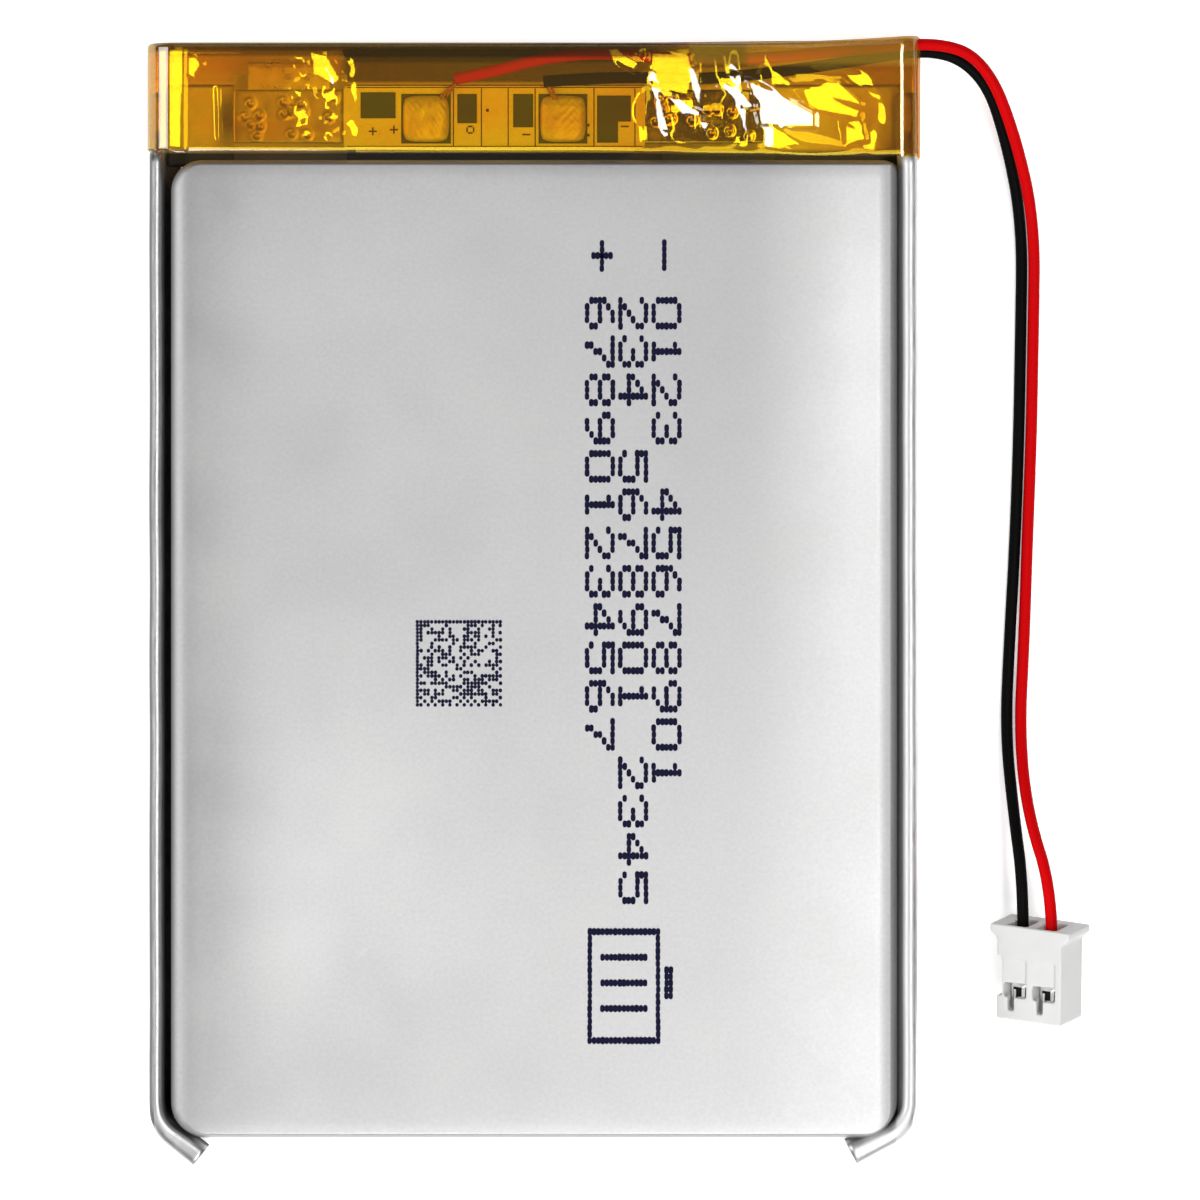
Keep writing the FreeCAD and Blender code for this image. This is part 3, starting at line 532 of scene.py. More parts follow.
def relief_block(x_range, y_range, foot, height, pitch=0.08, roundness=0.0):
    """A block whose top follows height(x, y, u, v), where u and v go from -1 to 1."""
    columns = max(2, round((x_range[1] - x_range[0]) / pitch))
    rows = max(2, round((y_range[1] - y_range[0]) / pitch))
    u, v = np.meshgrid(np.linspace(-1, 1, columns), np.linspace(-1, 1, rows))
    x = np.mean(x_range) + (x_range[1] - x_range[0]) / 2 * u * (1 - roundness * v ** 4)
    y = np.mean(y_range) + (y_range[1] - y_range[0]) / 2 * v * (1 - roundness * u ** 4)
    z = height(x, y, u, v)
    points = list(zip(x.ravel(), y.ravel(), z.ravel()))
    faces = band_faces(rows, columns, closed=False)
    grid = np.arange(rows * columns).reshape(rows, columns)
    sides = (grid[0], grid[1:, -1], grid[-1, -2::-1], grid[-2:0:-1, 0])
    rim = np.concatenate(sides).tolist()
    first = len(points)
    points += [(points[k][0], points[k][1], foot) for k in rim]
    for k in range(len(rim)):
        after = (k + 1) % len(rim)
        faces.append((rim[k], rim[after], first + after, first + k))
    faces.append(tuple(range(first, first + len(rim))))
    return points, faces


def waves(x, y, length, seed, count=5):
    """Soft random waves of about the given length, between -1 and 1."""
    draw = random.Random(seed)
    total = 0.0
    for _ in range(count):
        angle = draw.uniform(0, math.pi)
        size = length * draw.uniform(0.7, 1.4)
        phase = draw.uniform(0, 2 * math.pi)
        along = (x * math.cos(angle) + y * math.sin(angle)) * 2 * math.pi / size
        total = total + np.sin(along + phase)
    return total / count


def folds(x, y, length, slope, seed, count=5):
    """Flat facets between sharp creases, like film that was crushed and let go."""
    draw = random.Random(seed)
    total = 0.0
    for _ in range(count):
        angle = draw.uniform(0, math.pi)
        size = length * draw.uniform(0.6, 1.6)
        along = (x * math.cos(angle) + y * math.sin(angle)) / size + draw.uniform(0, 1)
        zigzag = np.abs(along - np.floor(along) - 0.5) - 0.25
        total = total + zigzag * size * slope
    return total


def smooth_step(value, start, end):
    t = np.clip((value - start) / (end - start), 0, 1)
    return t * t * (3 - 2 * t)


def inside(x, y, x_range, y_range, soft):
    """1 inside a rectangle, falling to 0 over soft millimetres outside it."""
    across = smooth_step(x, x_range[0] - soft, x_range[0]) * (
        1 - smooth_step(x, x_range[1], x_range[1] + soft))
    along = smooth_step(y, y_range[0] - soft, y_range[0]) * (
        1 - smooth_step(y, y_range[1], y_range[1] + soft))
    return across * along


# ---- leads

WIRE = 0.72
RED_ROUTE = (
    (-4.85, 32.1, 5.0), (-2.9, 32.45, 5.06), (0.6, 33.4, 5.06), (4.4, 33.75, 5.06),
    (8.8, 33.3, 5.02), (14.2, 33.35, 5.0), (19.5, 33.9, 5.0), (25.4, 34.42, 5.0),
    (28.0, 32.9, 4.3), (29.8, 28.5, 2.6), (31.0, 23.3, 1.0), (30.92, 16.6, 0.48),
    (30.8, 10.0, 0.42), (30.55, 3.6, 0.42), (30.35, -2.6, 0.45), (30.05, -8.1, 0.75),
    (30.45, -13.1, 3.0), (31.92, -17.89, 4.85), (31.92, -21.6, 4.03),
)
BLACK_ROUTE = (
    (0.6, 31.95, 5.0), (3.4, 32.15, 5.06), (6.8, 32.2, 5.04), (10.4, 32.1, 4.9),
    (14.2, 32.45, 4.45), (19.4, 33.2, 4.12), (24.9, 34.12, 4.12), (27.8, 32.35, 3.4),
    (29.2, 28.5, 1.8), (30.25, 23.3, 0.5), (30.15, 16.6, 0.38), (30.03, 10.0, 0.37),
    (29.8, 3.6, 0.37), (29.45, -2.6, 0.37), (29.2, -8.1, 0.5), (29.62, -13.0, 2.2),
    (30.18, -17.67, 3.87), (30.18, -21.38, 3.05),
)


def spline_piece(name, routes, diameter, material):
    """A curve object with one smooth spline for each route."""
    data = bpy.data.curves.new(name, "CURVE")
    data.dimensions = "3D"
    data.bevel_depth = diameter / 2 * MM
    data.bevel_resolution = 6
    data.resolution_u = 16
    data.use_fill_caps = True
    for route in routes:
        spline = data.splines.new("NURBS")
        spline.points.add(len(route) - 1)
        for point, place in zip(spline.points, route):
            point.co = (place[0] * MM, place[1] * MM, place[2] * MM, 1.0)
        spline.order_u = 3
        spline.use_endpoint_u = True
    data.materials.append(material)
    return add_object(name, data)


red_lead = spline_piece("red_lead", [RED_ROUTE], WIRE, RED)
settle(red_lead, ["red_wire_insulation"])
black_lead = spline_piece("black_lead", [BLACK_ROUTE], WIRE, BLACK)
settle(black_lead, ["black_wire_insulation"])


# ---- pouch

CUP_HALF_WIDTH = 22.3
CUP_Y = (-33.0, 27.1)
CUP_RADII = (2.2, 2.2, 0.8, 1.9)
CUP_POINTS = (40, 56, 40, 56)
CUP_CORNER_STEPS = 14
BACK_INSETS = (2.0, 6.0, 12.0, 18.0)
FACE_EDGE = 0.9
END_EDGE_SHARE = 0.4  # how much of FACE_EDGE the two end edges roll over
RIGHT_EDGE_SHARE = 0.5  # and the right edge
RIGHT_DRAFT = 0.35  # how much further the right wall leans out at its foot
BACK_EDGE = 0.3
WALL_DRAFT = 0.12
LEFT_SHOULDER = (5.3, 0.22)  # how wide the face's soft fall is, and how deep
RIGHT_SHOULDER = (9.5, 0.30)
END_SHOULDER = (4.0, 0.12)
RAIL_OUTSIDE = 23.62
EAR_PIVOT = 20.8  # the centre of the bend that ends each rail
SEAL_THICKNESS = 0.22
SEAL_FAR_Y = 31.4  # where each side seal starts, under the tape
SEAL_PITCH = 0.45
SEAL_TOP = 5.6
SEAL_FOOT = 0.9
SEAL_HEM = 1.0  # the outer leg ends at this height
WOBBLE = 0.03
EAR_STEPS = 14
EAR_OPENING = 0.36  # how far the fold opens at the ear's tip
TAPED_DROP = 3.2  # how much lower the fold is under the tape
BEND_SOFTLY = (0.1, 0.5)  # over these radians of bend the foot and the lean go
TOP_SEAL = ((-22.8, 26.9), (22.8, 32.0))
TOP_SEAL_Z = (0.19, 0.41, 0.43)  # its back, and the low and high lines of its ribs
RIB = 0.25


def face_height(x, y):
    """Height of the printed face: flat, with a soft fall to each edge and slight unevenness."""
    fall = 0.0
    for room, (width, depth) in ((CUP_HALF_WIDTH + x, LEFT_SHOULDER),
                                 (CUP_HALF_WIDTH - x, RIGHT_SHOULDER),
                                 (y - CUP_Y[0], END_SHOULDER), (CUP_Y[1] - y, END_SHOULDER)):
        fall = fall + depth * np.clip(1 - room / width, 0, 1) ** 2
    return FACE_Z - fall + 0.012 * waves(x, y, 14.0, 3) + 0.004 * waves(x, y, 5.0, 8)


def cup_ring(inset, height=None, lean=0.0):
    """Outline of the cup, drawn in by inset at its left side and by less elsewhere."""
    rolled = min(max(inset, 0.0), FACE_EDGE)
    end_inset = inset - (1 - END_EDGE_SHARE) * rolled
    right_inset = inset - (1 - RIGHT_EDGE_SHARE) * rolled - lean
    low = (-CUP_HALF_WIDTH + inset, CUP_Y[0] + end_inset)
    high = (CUP_HALF_WIDTH - right_inset, CUP_Y[1] - end_inset)
    radii = [r - inset for r in CUP_RADII]
    flat = rounded_loop(low, high, radii, CUP_POINTS, CUP_CORNER_STEPS)
    z = face_height(flat[:, 0], flat[:, 1]) if height is None else np.full(len(flat), height)
    return np.column_stack([flat, z])


def pouch_cup():
    """The drawn cup: face, rolled edge, drafted walls and flat back."""
    rings = [cup_ring(inset) for inset in np.linspace(CUP_HALF_WIDTH - 0.8, FACE_EDGE, 24)]
    for step in range(1, 11):
        angle = math.pi / 2 * step / 10
        ring = cup_ring(FACE_EDGE * (1 - math.sin(angle)))
        ring[:, 2] -= FACE_EDGE * (1 - math.cos(angle))
        rings.append(ring)
    for share in np.linspace(0.1, 1.0, 6):
        ring = cup_ring(-WALL_DRAFT * share, lean=RIGHT_DRAFT * share)
        top = ring[:, 2] - FACE_EDGE
        ring[:, 2] = top + (BACK_Z + BACK_EDGE - top) * share
        rings.append(ring)
    for step in range(1, 6):
        angle = math.pi / 2 * step / 5
        inset = BACK_EDGE * (1 - math.cos(angle)) - WALL_DRAFT
        rings.append(cup_ring(inset, BACK_Z + BACK_EDGE * (1 - math.sin(angle)), RIGHT_DRAFT))
    rings += [cup_ring(inset, BACK_Z) for inset in BACK_INSETS]
    return ring_piece("pouch_cup", rings, LAMINATE, slot="pouch_laminate",
                      replaces=["pouch_film"])


def rail_section(place, outward, half, open_by, top, foot, lean):
    """Hairpin section of a side seal: foot, inner leg, fold and outer leg.

    lean is how far the inner leg leans towards the cup below the fold."""
    sheet = SEAL_THICKNESS
    fold = top - half
    hem = SEAL_HEM
    points = [(-half - foot, BACK_Z), (-half - foot, BACK_Z + sheet), (-half, BACK_Z + sheet)]
    points += [(-half - lean * bend, BACK_Z + sheet + (fold - BACK_Z - sheet) * s)
               for s, bend in ((0.35, 0.5), (0.7, 1.0), (1.0, 0.0))]
    spread = half + open_by
    for step in range(1, 9):
        angle = math.pi * step / 8
        reach = spread if step > 4 else half + open_by * step / 8
        points.append((-reach * math.cos(angle), fold + half * math.sin(angle)))
    points += [(spread, fold - (fold - hem) * s) for s in (0.35, 0.7, 1.0)]
    inner = spread - sheet
    points += [(inner, hem), (inner, hem + (fold - hem) * 0.5), (inner, fold)]
    low = half - sheet
    for step in range(1, 8):
        angle = math.pi * step / 8
        reach = low + (inner - low) * (1 - step / 8) if step > 4 else inner
        points.append((reach * math.cos(angle), fold + low * math.sin(angle)))
    points += [(-low, fold), (-low, BACK_Z + sheet * 1.2), (-low, BACK_Z)]
    return [(place[0] + outward[0] * n, place[1] + outward[1] * n, z) for n, z in points]


def side_seal(name, side, half, turn_y, turn, free, lean):
    """A folded side seal that runs down the cell, round its corner and ends in an open ear.

    turn is how far it bends, in degrees, and free how far it then stands clear of the cup."""
    middle = RAIL_OUTSIDE - half
    radius = middle - EAR_PIVOT
    stations = [(side * middle, y, 0.0) for y in np.arange(SEAL_FAR_Y, turn_y, -SEAL_PITCH)]
    for step in range(EAR_STEPS + 1):
        angle = math.radians(turn) * step / EAR_STEPS
        stations.append((side * (EAR_PIVOT + radius * math.cos(angle)),
                         turn_y - radius * math.sin(angle), angle))
    bend_x, bend_y, angle = stations[-1]
    for share in np.linspace(0.12, 1.0, 8):
        stations.append((bend_x - side * math.sin(angle) * free * share,
                         bend_y - math.cos(angle) * free * share, angle))
    sections = []
    travelled = 0.0
    last = stations[0]
    for x, y, angle in stations:
        travelled += math.dist(last[:2], (x, y))
        last = (x, y)
        wobble = float(waves(travelled, 0.0, 9.0, 20 + side)) * WOBBLE
        opening = float(smooth_step(-y, 30.5, 34.3)) * EAR_OPENING
        top = SEAL_TOP + float(waves(travelled, 3.0, 5.0, 24 + side)) * WOBBLE - opening * 0.5
        top -= TAPED_DROP * float(smooth_step(y, 27.4, 28.6))
        outward = (side * math.cos(angle), -math.sin(angle))
        shift = wobble - opening
        place = (x + outward[0] * shift, y + outward[1] * shift)
        bent = float(smooth_step(angle, *BEND_SOFTLY))
        foot = SEAL_FOOT - 0.8 * bent
        sections.append(rail_section(place, outward, half, opening, top, foot, lean * (1 - bent)))
    return ring_piece(name, sections, SEAL, slot="pouch_laminate")


def top_seal():
    """The flat heat seal beyond the cup, with the ribs that the sealing jaws leave."""
    low, high = TOP_SEAL
    back, *ribs = TOP_SEAL_Z
    rings = []
    for inset, z in [(0.0, back)] + [(RIB * k, ribs[k % 2]) for k in range(9)]:
        flat = rounded_loop((low[0] + inset, low[1] + inset), (high[0] - inset, high[1] - inset),
                            (0.2,) * 4, (60, 6, 60, 6), 2)
        rings.append(np.column_stack([flat, np.full(len(flat), z)]))
    return ring_piece("top_seal", rings, LIT_LAMINATE, slot="pouch_laminate")


pouch_cup()
side_seal("side_seal_left", -1, 0.41, -31.2, 51.0, 2.1, 0.0)
side_seal("side_seal_right", 1, 0.48, -30.9, 62.0, 2.55, 0.26)
top_seal()


# ---- print

DIGITS = {
    "0": ".###. #...# #...# #...# #...# #...# .###.",
    "1": "..#.. .##.. ..#.. ..#.. ..#.. ..#.. .###.",
    "2": ".###. #...# ....# ...#. ..#.. .#... #####",
    "3": ".###. #...# ....# ..##. ....# #...# .###.",
    "4": "...#. ..##. .#.#. #..#. ##### ...#. ...#.",
    "5": "##### #.... ####. ....# ....# #...# .###.",
    "6": "..##. .#... #.... ####. #...# #...# .###.",
    "7": "##### ....# ...#. ..#.. ..#.. .#... .#...",
    "8": ".###. #...# #...# .###. #...# #...# .###.",
    "9": ".###. #...# #...# .#### ....# ...#. .##..",
    " ": "..... ..... ..... ..... ..... ..... .....",
}
DOT_ROW = 0.262  # pitch of the dots across a letter's height
DOT_COLUMN = 0.393
LETTER = 2.351  # pitch of the letters
DOT = (0.29, 0.47)  # width and length
SIGN_PLACE = (3.45, -20.3)
SIGN_DOTS = (16, 17)
SIGN_BARS = (4, 8, 12)
INK_LEVELS = ((0.002, 1.0), (0.012, 0.9))  # height above the face, and share of the dot's size
TEXT_TOP = 18.45
TEXT_LINES = (("0123 45678901", 8.95), ("234 5678901 2345", 6.9), ("678901234567", 4.86))
STROKES = (((8.02, 21.98), (8.02, 20.48), DOT_COLUMN), ((4.2, 21.94), (4.2, 20.42), DOT_COLUMN),
           ((3.68, 21.2), (4.72, 21.2), DOT_ROW))    # a minus and a plus
CODE_PLACE = (-7.13, -1.28)
CODE_CELLS = 24
CODE_PITCH = 0.2215
CODE_DOT = (0.22, 0.25)


def text_dots(text, right_x, start_y):
    """Dots of a line whose letters stand towards +X and which reads towards -Y."""
    dots = []
    for place, letter in enumerate(text):
        for row, line in enumerate(DIGITS[letter].split()):
            for column, mark in enumerate(line):
                if mark == "#":
                    y = start_y - place * LETTER - column * DOT_COLUMN
                    dots.append((right_x - row * DOT_ROW, y))
    return dots


def line_dots(start, end, pitch):
    length = math.dist(start, end)
    count = max(1, round(length / pitch))
    return [(start[0] + (end[0] - start[0]) * k / count, start[1] + (end[1] - start[1]) * k / count)
            for k in range(count + 1)]


def dot_outline(width, length):
    """A long dot: two half rounds joined along Y."""
    radius = width / 2
    reach = length / 2 - radius
    points = []
    for end, first in ((-1, math.pi), (1, 0.0)):
        for step in range(6):
            angle = first + math.pi * step / 5
            points.append((radius * math.cos(angle), end * reach + radius * math.sin(angle)))
    return points


def dot_piece(name, dots, size, seed):
    """Flat raised dots of ink on the printed face."""
    outline = dot_outline(*size)
    count = len(outline)
    faces = [tuple(range(count)), tuple(range(count, 2 * count))] + band_faces(2, count)
    draw = random.Random(seed)
    blocks = []
    for x, y in dots:
        x = x + draw.uniform(-0.012, 0.012)
        scale = draw.uniform(0.94, 1.06)
        z = float(face_height(np.array([x]), np.array([y]))[0])
        blocks.append(([(x + u * scale * share, y + v * scale * share, z + level)
                        for level, share in INK_LEVELS for u, v in outline], faces))
    return new_piece(name, *merged(blocks), INK, smooth=False)


def text_print():
    """Three lines of counting digits, with a minus and a plus sign before them."""
    dots = []
    for line, right_x in TEXT_LINES:
        dots += text_dots(line, right_x, TEXT_TOP)
    for stroke in STROKES:
        dots += line_dots(*stroke)
    return dot_piece("face_print", dots, DOT, 1)


def battery_sign():
    """A plain battery outline with charge bars, on the printer's own grid of dots."""
    left, top = SIGN_PLACE
    across, along = SIGN_DOTS
    marks = [(c, r) for c in range(across + 1) for r in (0, along)]
    marks += [(c, r) for c in (0, across) for r in range(1, along)]
    marks += [(c, r) for c in range(3, across - 2) for r in SIGN_BARS]
    marks += [(c, r) for c in (across + 2, across + 3) for r in range(6, 11)]
    dots = [(left + c * DOT_ROW, top - r * DOT_COLUMN) for c, r in marks]
    return dot_piece("battery_sign", dots, DOT, 2)


def dot_square():
    """A square of random dots inside a code-like border; it says nothing."""
    left, top = CODE_PLACE
    last = CODE_CELLS - 1
    draw = random.Random(41)
    dots = []
    for row in range(CODE_CELLS):
        for column in range(CODE_CELLS):
            solid = row == 0 or column == 0
            edge = row == last or column == last
            dashed = edge and (row + column) % 2 == 0
            if solid or dashed or (not edge and draw.random() < 0.5):
                dots.append((left + column * CODE_PITCH, top - row * CODE_PITCH))
    return dot_piece("dot_square", dots, CODE_DOT, 3)


text_print()
battery_sign()
dot_square()


# ---- board and plates

SILK = 0.015  # how far a printed mark stands up
SILK_X = (-4.94, -3.22, -1.57, 0.09, 3.71, 6.23)  # the lines between the pads
SILK_X_REACH = (27.95, 31.55)
SILK_Y = (27.98, 31.6)  # and the two along the board's edges
SILK_Y_REACH = (-11.5, 6.7)
MARK_DOT = 0.1
MARKS = (("+", -9.9, 28.9), ("+", -8.6, 29.0), ("0", -3.9, 29.0), ("-", -0.45, 28.7),
         ("-", 5.6, 29.2))
MARK_SHAPES = {"+": "..#.. ..#.. ##### ..#.. ..#..", "-": "..#.. ..#.. ..#.. ..#.. ..#..",
               "0": ".###. #...# #...# #...# .###."}
TEST_DOTS = ((-2.85, 30.2), (3.35, 29.28), (3.35, 28.67))
PADS = (((-10.65, -8.5), (29.7, 31.3)), ((-8.15, -5.1), (28.15, 31.2)), ((-4.7, -3.5), (29.4, 31.2)),
        ((-1.26, -0.03), (29.15, 31.2)), ((0.3, 3.3), (28.15, 31.2)), ((3.9, 5.98), (29.5, 31.1)),
        ((3.9, 5.19), (28.2, 29.5)))
PILLOWS = (((-8.05, -5.2), 3), ((0.4, 3.2), 5))  # X from and to, and seed
PILLOW_Y = (28.25, 31.1)
PILLOW_HEIGHT = 0.42
WELD_PITS = 16
PIT_RADIUS = 0.16


def flat_top(z):
    return lambda x, y, u, v: np.full(x.shape, z)


def flat_bar(x_range, y_range, foot, top):
    return relief_block(x_range, y_range, foot, flat_top(top), pitch=10.0)


def silk_square(x, y, half):
    return flat_bar((x - half, x + half), (y - half, y + half), BOARD_TOP, BOARD_TOP + SILK)


def board_print():
    """Fine lines between the pads, with small turned marks and test dots."""
    levels = (BOARD_TOP, BOARD_TOP + SILK)
    bars = [flat_bar((x - 0.035, x + 0.035), SILK_X_REACH, *levels) for x in SILK_X]
    bars += [flat_bar(SILK_Y_REACH, (y - 0.03, y + 0.03), *levels) for y in SILK_Y]
    for mark, x, y in MARKS:
        for row, line in enumerate(MARK_SHAPES[mark].split()):
            for column, dot in enumerate(line):
                if dot == "#":
                    bars.append(silk_square(x + (row - 2) * MARK_DOT,
                                            y + (column - 2) * MARK_DOT, MARK_DOT / 2))
    bars += [silk_square(x, y, 0.09) for x, y in TEST_DOTS]
    return new_piece("board_print", *merged(bars), SILK_INK, smooth=False)


def pads():
    """Bare pads beside and under the two joints."""
    blocks = [flat_bar(x_range, y_range, BOARD_TOP, PAD_TOP) for x_range, y_range in PADS]
    return new_piece("pads", *merged(blocks), PAD, slot="pad_copper", replaces=["board_pads"],
                     smooth=False)


def solder_pillows():
    """Two soldered lead ends: square cushions of solder with a wrinkled skin."""
    blocks = []
    for x_range, seed in PILLOWS:
        def height(x, y, u, v, seed=seed):
            dome = np.sqrt(np.clip(1 - np.abs(u) ** 3, 0, 1) * np.clip(1 - np.abs(v) ** 3, 0, 1))
            skin = 0.04 * waves(x, y, 0.9, seed) + 0.03 * waves(x, y, 0.4, seed + 1)
            return PAD_TOP + 0.02 + (PILLOW_HEIGHT + skin) * dome
        blocks.append(relief_block(x_range, PILLOW_Y, PAD_TOP, height, 0.05, 0.12))
    return new_piece("solder_pillows", *merged(blocks), SOLDER, slot="solder",
                     replaces=["solder_joints"])


def weld_plate(name, node, seed, pits, material):
    """A welded link strip, dimpled where the welding needles pressed."""
    low, high = node_box(node)
    draw = random.Random(seed)
    spots = [(draw.uniform(pits[0], pits[1]), draw.uniform(low[1] + 0.4, high[1] - 0.4))
             for _ in range(WELD_PITS)]

    def height(x, y, u, v):
        z = high[2] + 0.02 * waves(x, y, 2.4, seed) - 0.05 * np.maximum(np.abs(u), np.abs(v)) ** 30
        for px, py in spots:
            away = np.hypot(x - px, y - py) / PIT_RADIUS
            z = z - 0.10 * np.exp(-away ** 2) + 0.06 * np.exp(-(away - 1.7) ** 2 * 3)
        return z
    plate = relief_block((low[0], high[0]), (low[1], high[1]), low[2], height, 0.07, 0.01)
    return new_piece(name, *plate, material, slot="tab_nickel", replaces=[node])


board_print()
pads()
solder_pillows()
weld_plate("positive_weld_plate", "positive_link", 11, (-18.0, -12.2), NICKEL)
weld_plate("negative_weld_plate", "negative_link", 12, (7.4, 14.3), BRIGHT_NICKEL)


# ---- tape

HEAD_HALF = 23.8
HEAD_FRONT = TAPE_HIGH[2]
HEAD_TOP = 34.32
HEAD_EDGE = 1.3
HEAD_LEFT_EDGE = 1.9
HEAD_BACK_EDGE = 0.5
HEAD_END_EDGE = 0.3
HEAD_END_DEPTH = 2.7  # how far in from the sides the folded end reaches
HEAD_ROWS = 46
END_ROWS = 6  # round the end's edge, and again over the end itself
BULGE_X = 11.7
BULGE = TAPE_HIGH[1] - HEAD_TOP
FRONT_POINTS = 300
LEADS_FROM_X = 8.0
OUTER_LIP = (0.3, 0.02)  # how far in each lower edge turns down, and how deep
INNER_LIP = (0.45, 0.22)
LAYER_STEP = 0.16  # from the outer layer down to the inner one
LAYER_GAP = 0.03
OUTER_LOW = (27.8, 27.3)  # the outer layer's lower edge at the left and at the right
INNER_LOW = 27.56


def tape_top(x):
    """Far end of the tape, which swells to the right over the leads."""
    return HEAD_TOP + BULGE * np.clip((x - BULGE_X) / (HEAD_HALF - BULGE_X), 0, 1) ** 2


def near_route(x, y, route):
    """Distance from each point to a lead's route seen from above."""
    best = np.full(x.shape, 1e9)
    for (ax, ay, _), (bx, by, _) in zip(route, route[1:]):
        dx, dy = bx - ax, by - ay
        t = np.clip(((x - ax) * dx + (y - ay) * dy) / (dx * dx + dy * dy), 0, 1)
        best = np.minimum(best, np.hypot(x - ax - t * dx, y - ay - t * dy))
    return best


def facet(relief, x, y, corners, slope, lift=0.0):
    """Puts a flat tilted patch, inside a convex outline given clockwise, into a relief."""
    keep = np.ones(x.shape)
    for (ax, ay), (bx, by) in zip(corners, corners[1:] + corners[:1]):
        length = math.hypot(bx - ax, by - ay)
        side = ((bx - ax) * (y - ay) - (by - ay) * (x - ax)) / length
        keep = keep * smooth_step(-side, -0.12, 0.03)
    middle = np.mean(np.array(corners), axis=0)
    patch = lift + slope[0] * (x - middle[0]) + slope[1] * (y - middle[1])
    return relief * (1 - keep) + patch * keep


TO_RIGHT_LIGHT = (-0.14, 0.0)  # the slope that mirrors the right light straight up
OUTER_FACETS = (
    [(13.04, 32.04), (13.54, 31.92), (17.34, 30.02), (17.34, 29.04), (13.9, 29.1)],
    [(14.03, 29.15), (14.89, 29.15), (14.89, 27.95), (14.03, 27.95)],
    [(11.27, 31.61), (11.69, 31.8), (13.6, 30.62), (13.6, 30.2), (12.98, 30.26)],
    [(7.95, 31.06), (8.5, 31.0), (10.5, 30.0), (10.2, 29.65), (9.0, 29.95)],
    [(-13.05, 32.85), (-12.7, 32.75), (-12.05, 32.05), (-12.15, 31.8), (-12.75, 32.25)],
)
INNER_FACETS = (
    [(7.2, 33.8), (9.6, 33.7), (10.04, 32.3), (9.5, 31.0), (7.9, 30.9), (6.84, 32.3)],
    [(4.4, 33.9), (5.2, 33.95), (6.6, 33.0), (6.3, 32.5), (5.4, 32.9)],
    [(16.05, 31.5), (18.8, 32.0), (20.2, 30.75), (20.1, 29.6), (17.0, 30.2)],
    [(18.9, 29.5), (20.2, 29.6), (20.5, 28.3), (19.1, 27.9)],
    [(-13.9, 33.8), (-12.6, 33.6), (-11.6, 31.9), (-12.4, 31.7), (-13.6, 32.4)],
    [(-14.0, 31.7), (-13.6, 31.7), (-13.4, 30.9), (-13.8, 30.9)],
    [(-21.5, 33.6), (-20.6, 33.5), (-20.2, 33.0), (-20.8, 32.0), (-21.5, 32.6)],
    [(-19.5, 31.6), (-19.28, 31.6), (-19.22, 28.4), (-19.44, 28.4)],
)
LEFT_BAND = [(-22.62, 33.95), (-21.42, 33.95), (-21.46, 27.8), (-22.62, 27.8)]
# Crumpled parts: X from and to, Y from and to, soft margin, then length, slope, seed and count
# of the folds.
OUTER_CRUMPLES = (((7.6, 13.0), (29.0, 32.4), 1.4, 2.2, 0.07, 7, 4),
                  ((-13.6, -11.8), (29.4, 32.4), 1.0, 1.1, 0.05, 9, 4))
INNER_CRUMPLES = (((7.0, 13.6), (28.6, 33.2), 1.0, 2.6, 0.22, 57, 5),
                  ((-14.6, -11.6), (28.8, 33.0), 0.9, 1.3, 0.15, 59, 4),
                  ((14.6, 20.8), (28.2, 32.2), 0.9, 3.6, 0.13, 61, 4))
JAGGED = (((6.4, 10.4), (30.6, 34.0), 0.4, 1.2, 0.05, 65, 3),
          ((15.6, 20.6), (27.8, 32.2), 0.4, 1.2, 0.05, 65, 3))


def crumpled(relief, x, y, crumples):
    for x_range, y_range, soft, *fold in crumples:
        relief = relief + inside(x, y, x_range, y_range, soft) * folds(x, y, *fold)
    return relief


def facetted(relief, x, y, facets, lift=0.0):
    for corners in facets:
        relief = facet(relief, x, y, corners, TO_RIGHT_LIGHT, lift)
    return relief


def turned_down(y, low, lip):
    """How far the film has turned down where it nears its lower edge."""
    return lip[1] * np.clip(1 - (y - low) / lip[0], 0, 1) ** 2


def outer_relief(x, y):
    """How far the outer layer stands off the plain head."""
    relief = 0.03 * waves(x, y, 8.0, 31) + 0.004 * waves(x, y, 2.5, 32)
    lead_bump = np.exp(-(near_route(x, y, RED_ROUTE[:8]) / 0.55) ** 2)
    lead_bump = lead_bump + np.exp(-(near_route(x, y, BLACK_ROUTE[:7]) / 0.6) ** 2)
    relief = relief + 0.10 * lead_bump * smooth_step(x, LEADS_FROM_X, LEADS_FROM_X + 4)
    relief = crumpled(relief, x, y, OUTER_CRUMPLES)
    relief = facetted(relief, x, y, OUTER_FACETS)
    return relief - turned_down(y, outer_low(x), OUTER_LIP)


def inner_relief(x, y):
    """How far the inner layer stands off its own plain head."""
    relief = 0.03 * waves(x, y, 6.0, 51) + 0.005 * waves(x, y, 2.0, 52)
    relief = crumpled(relief, x, y, INNER_CRUMPLES)
    relief = facetted(relief, x, y, INNER_FACETS, -0.1)
    relief = crumpled(relief, x, y, JAGGED)
    round_radius = HEAD_LEFT_EDGE - LAYER_STEP
    past_round = np.clip(-HEAD_HALF + HEAD_LEFT_EDGE - x, 0, 0.95)
    drop = round_radius - np.sqrt(round_radius ** 2 - past_round ** 2)
    band = facet(np.zeros(x.shape), x, y, LEFT_BAND, (0.0, 0.0), 1.0)
    relief = facet(relief, x, y, LEFT_BAND, TO_RIGHT_LIGHT, -0.17) + drop * band
    relief = relief - turned_down(y, inner_low(x), INNER_LIP)
    return np.minimum(relief, outer_relief(x, y) + LAYER_STEP - LAYER_GAP)


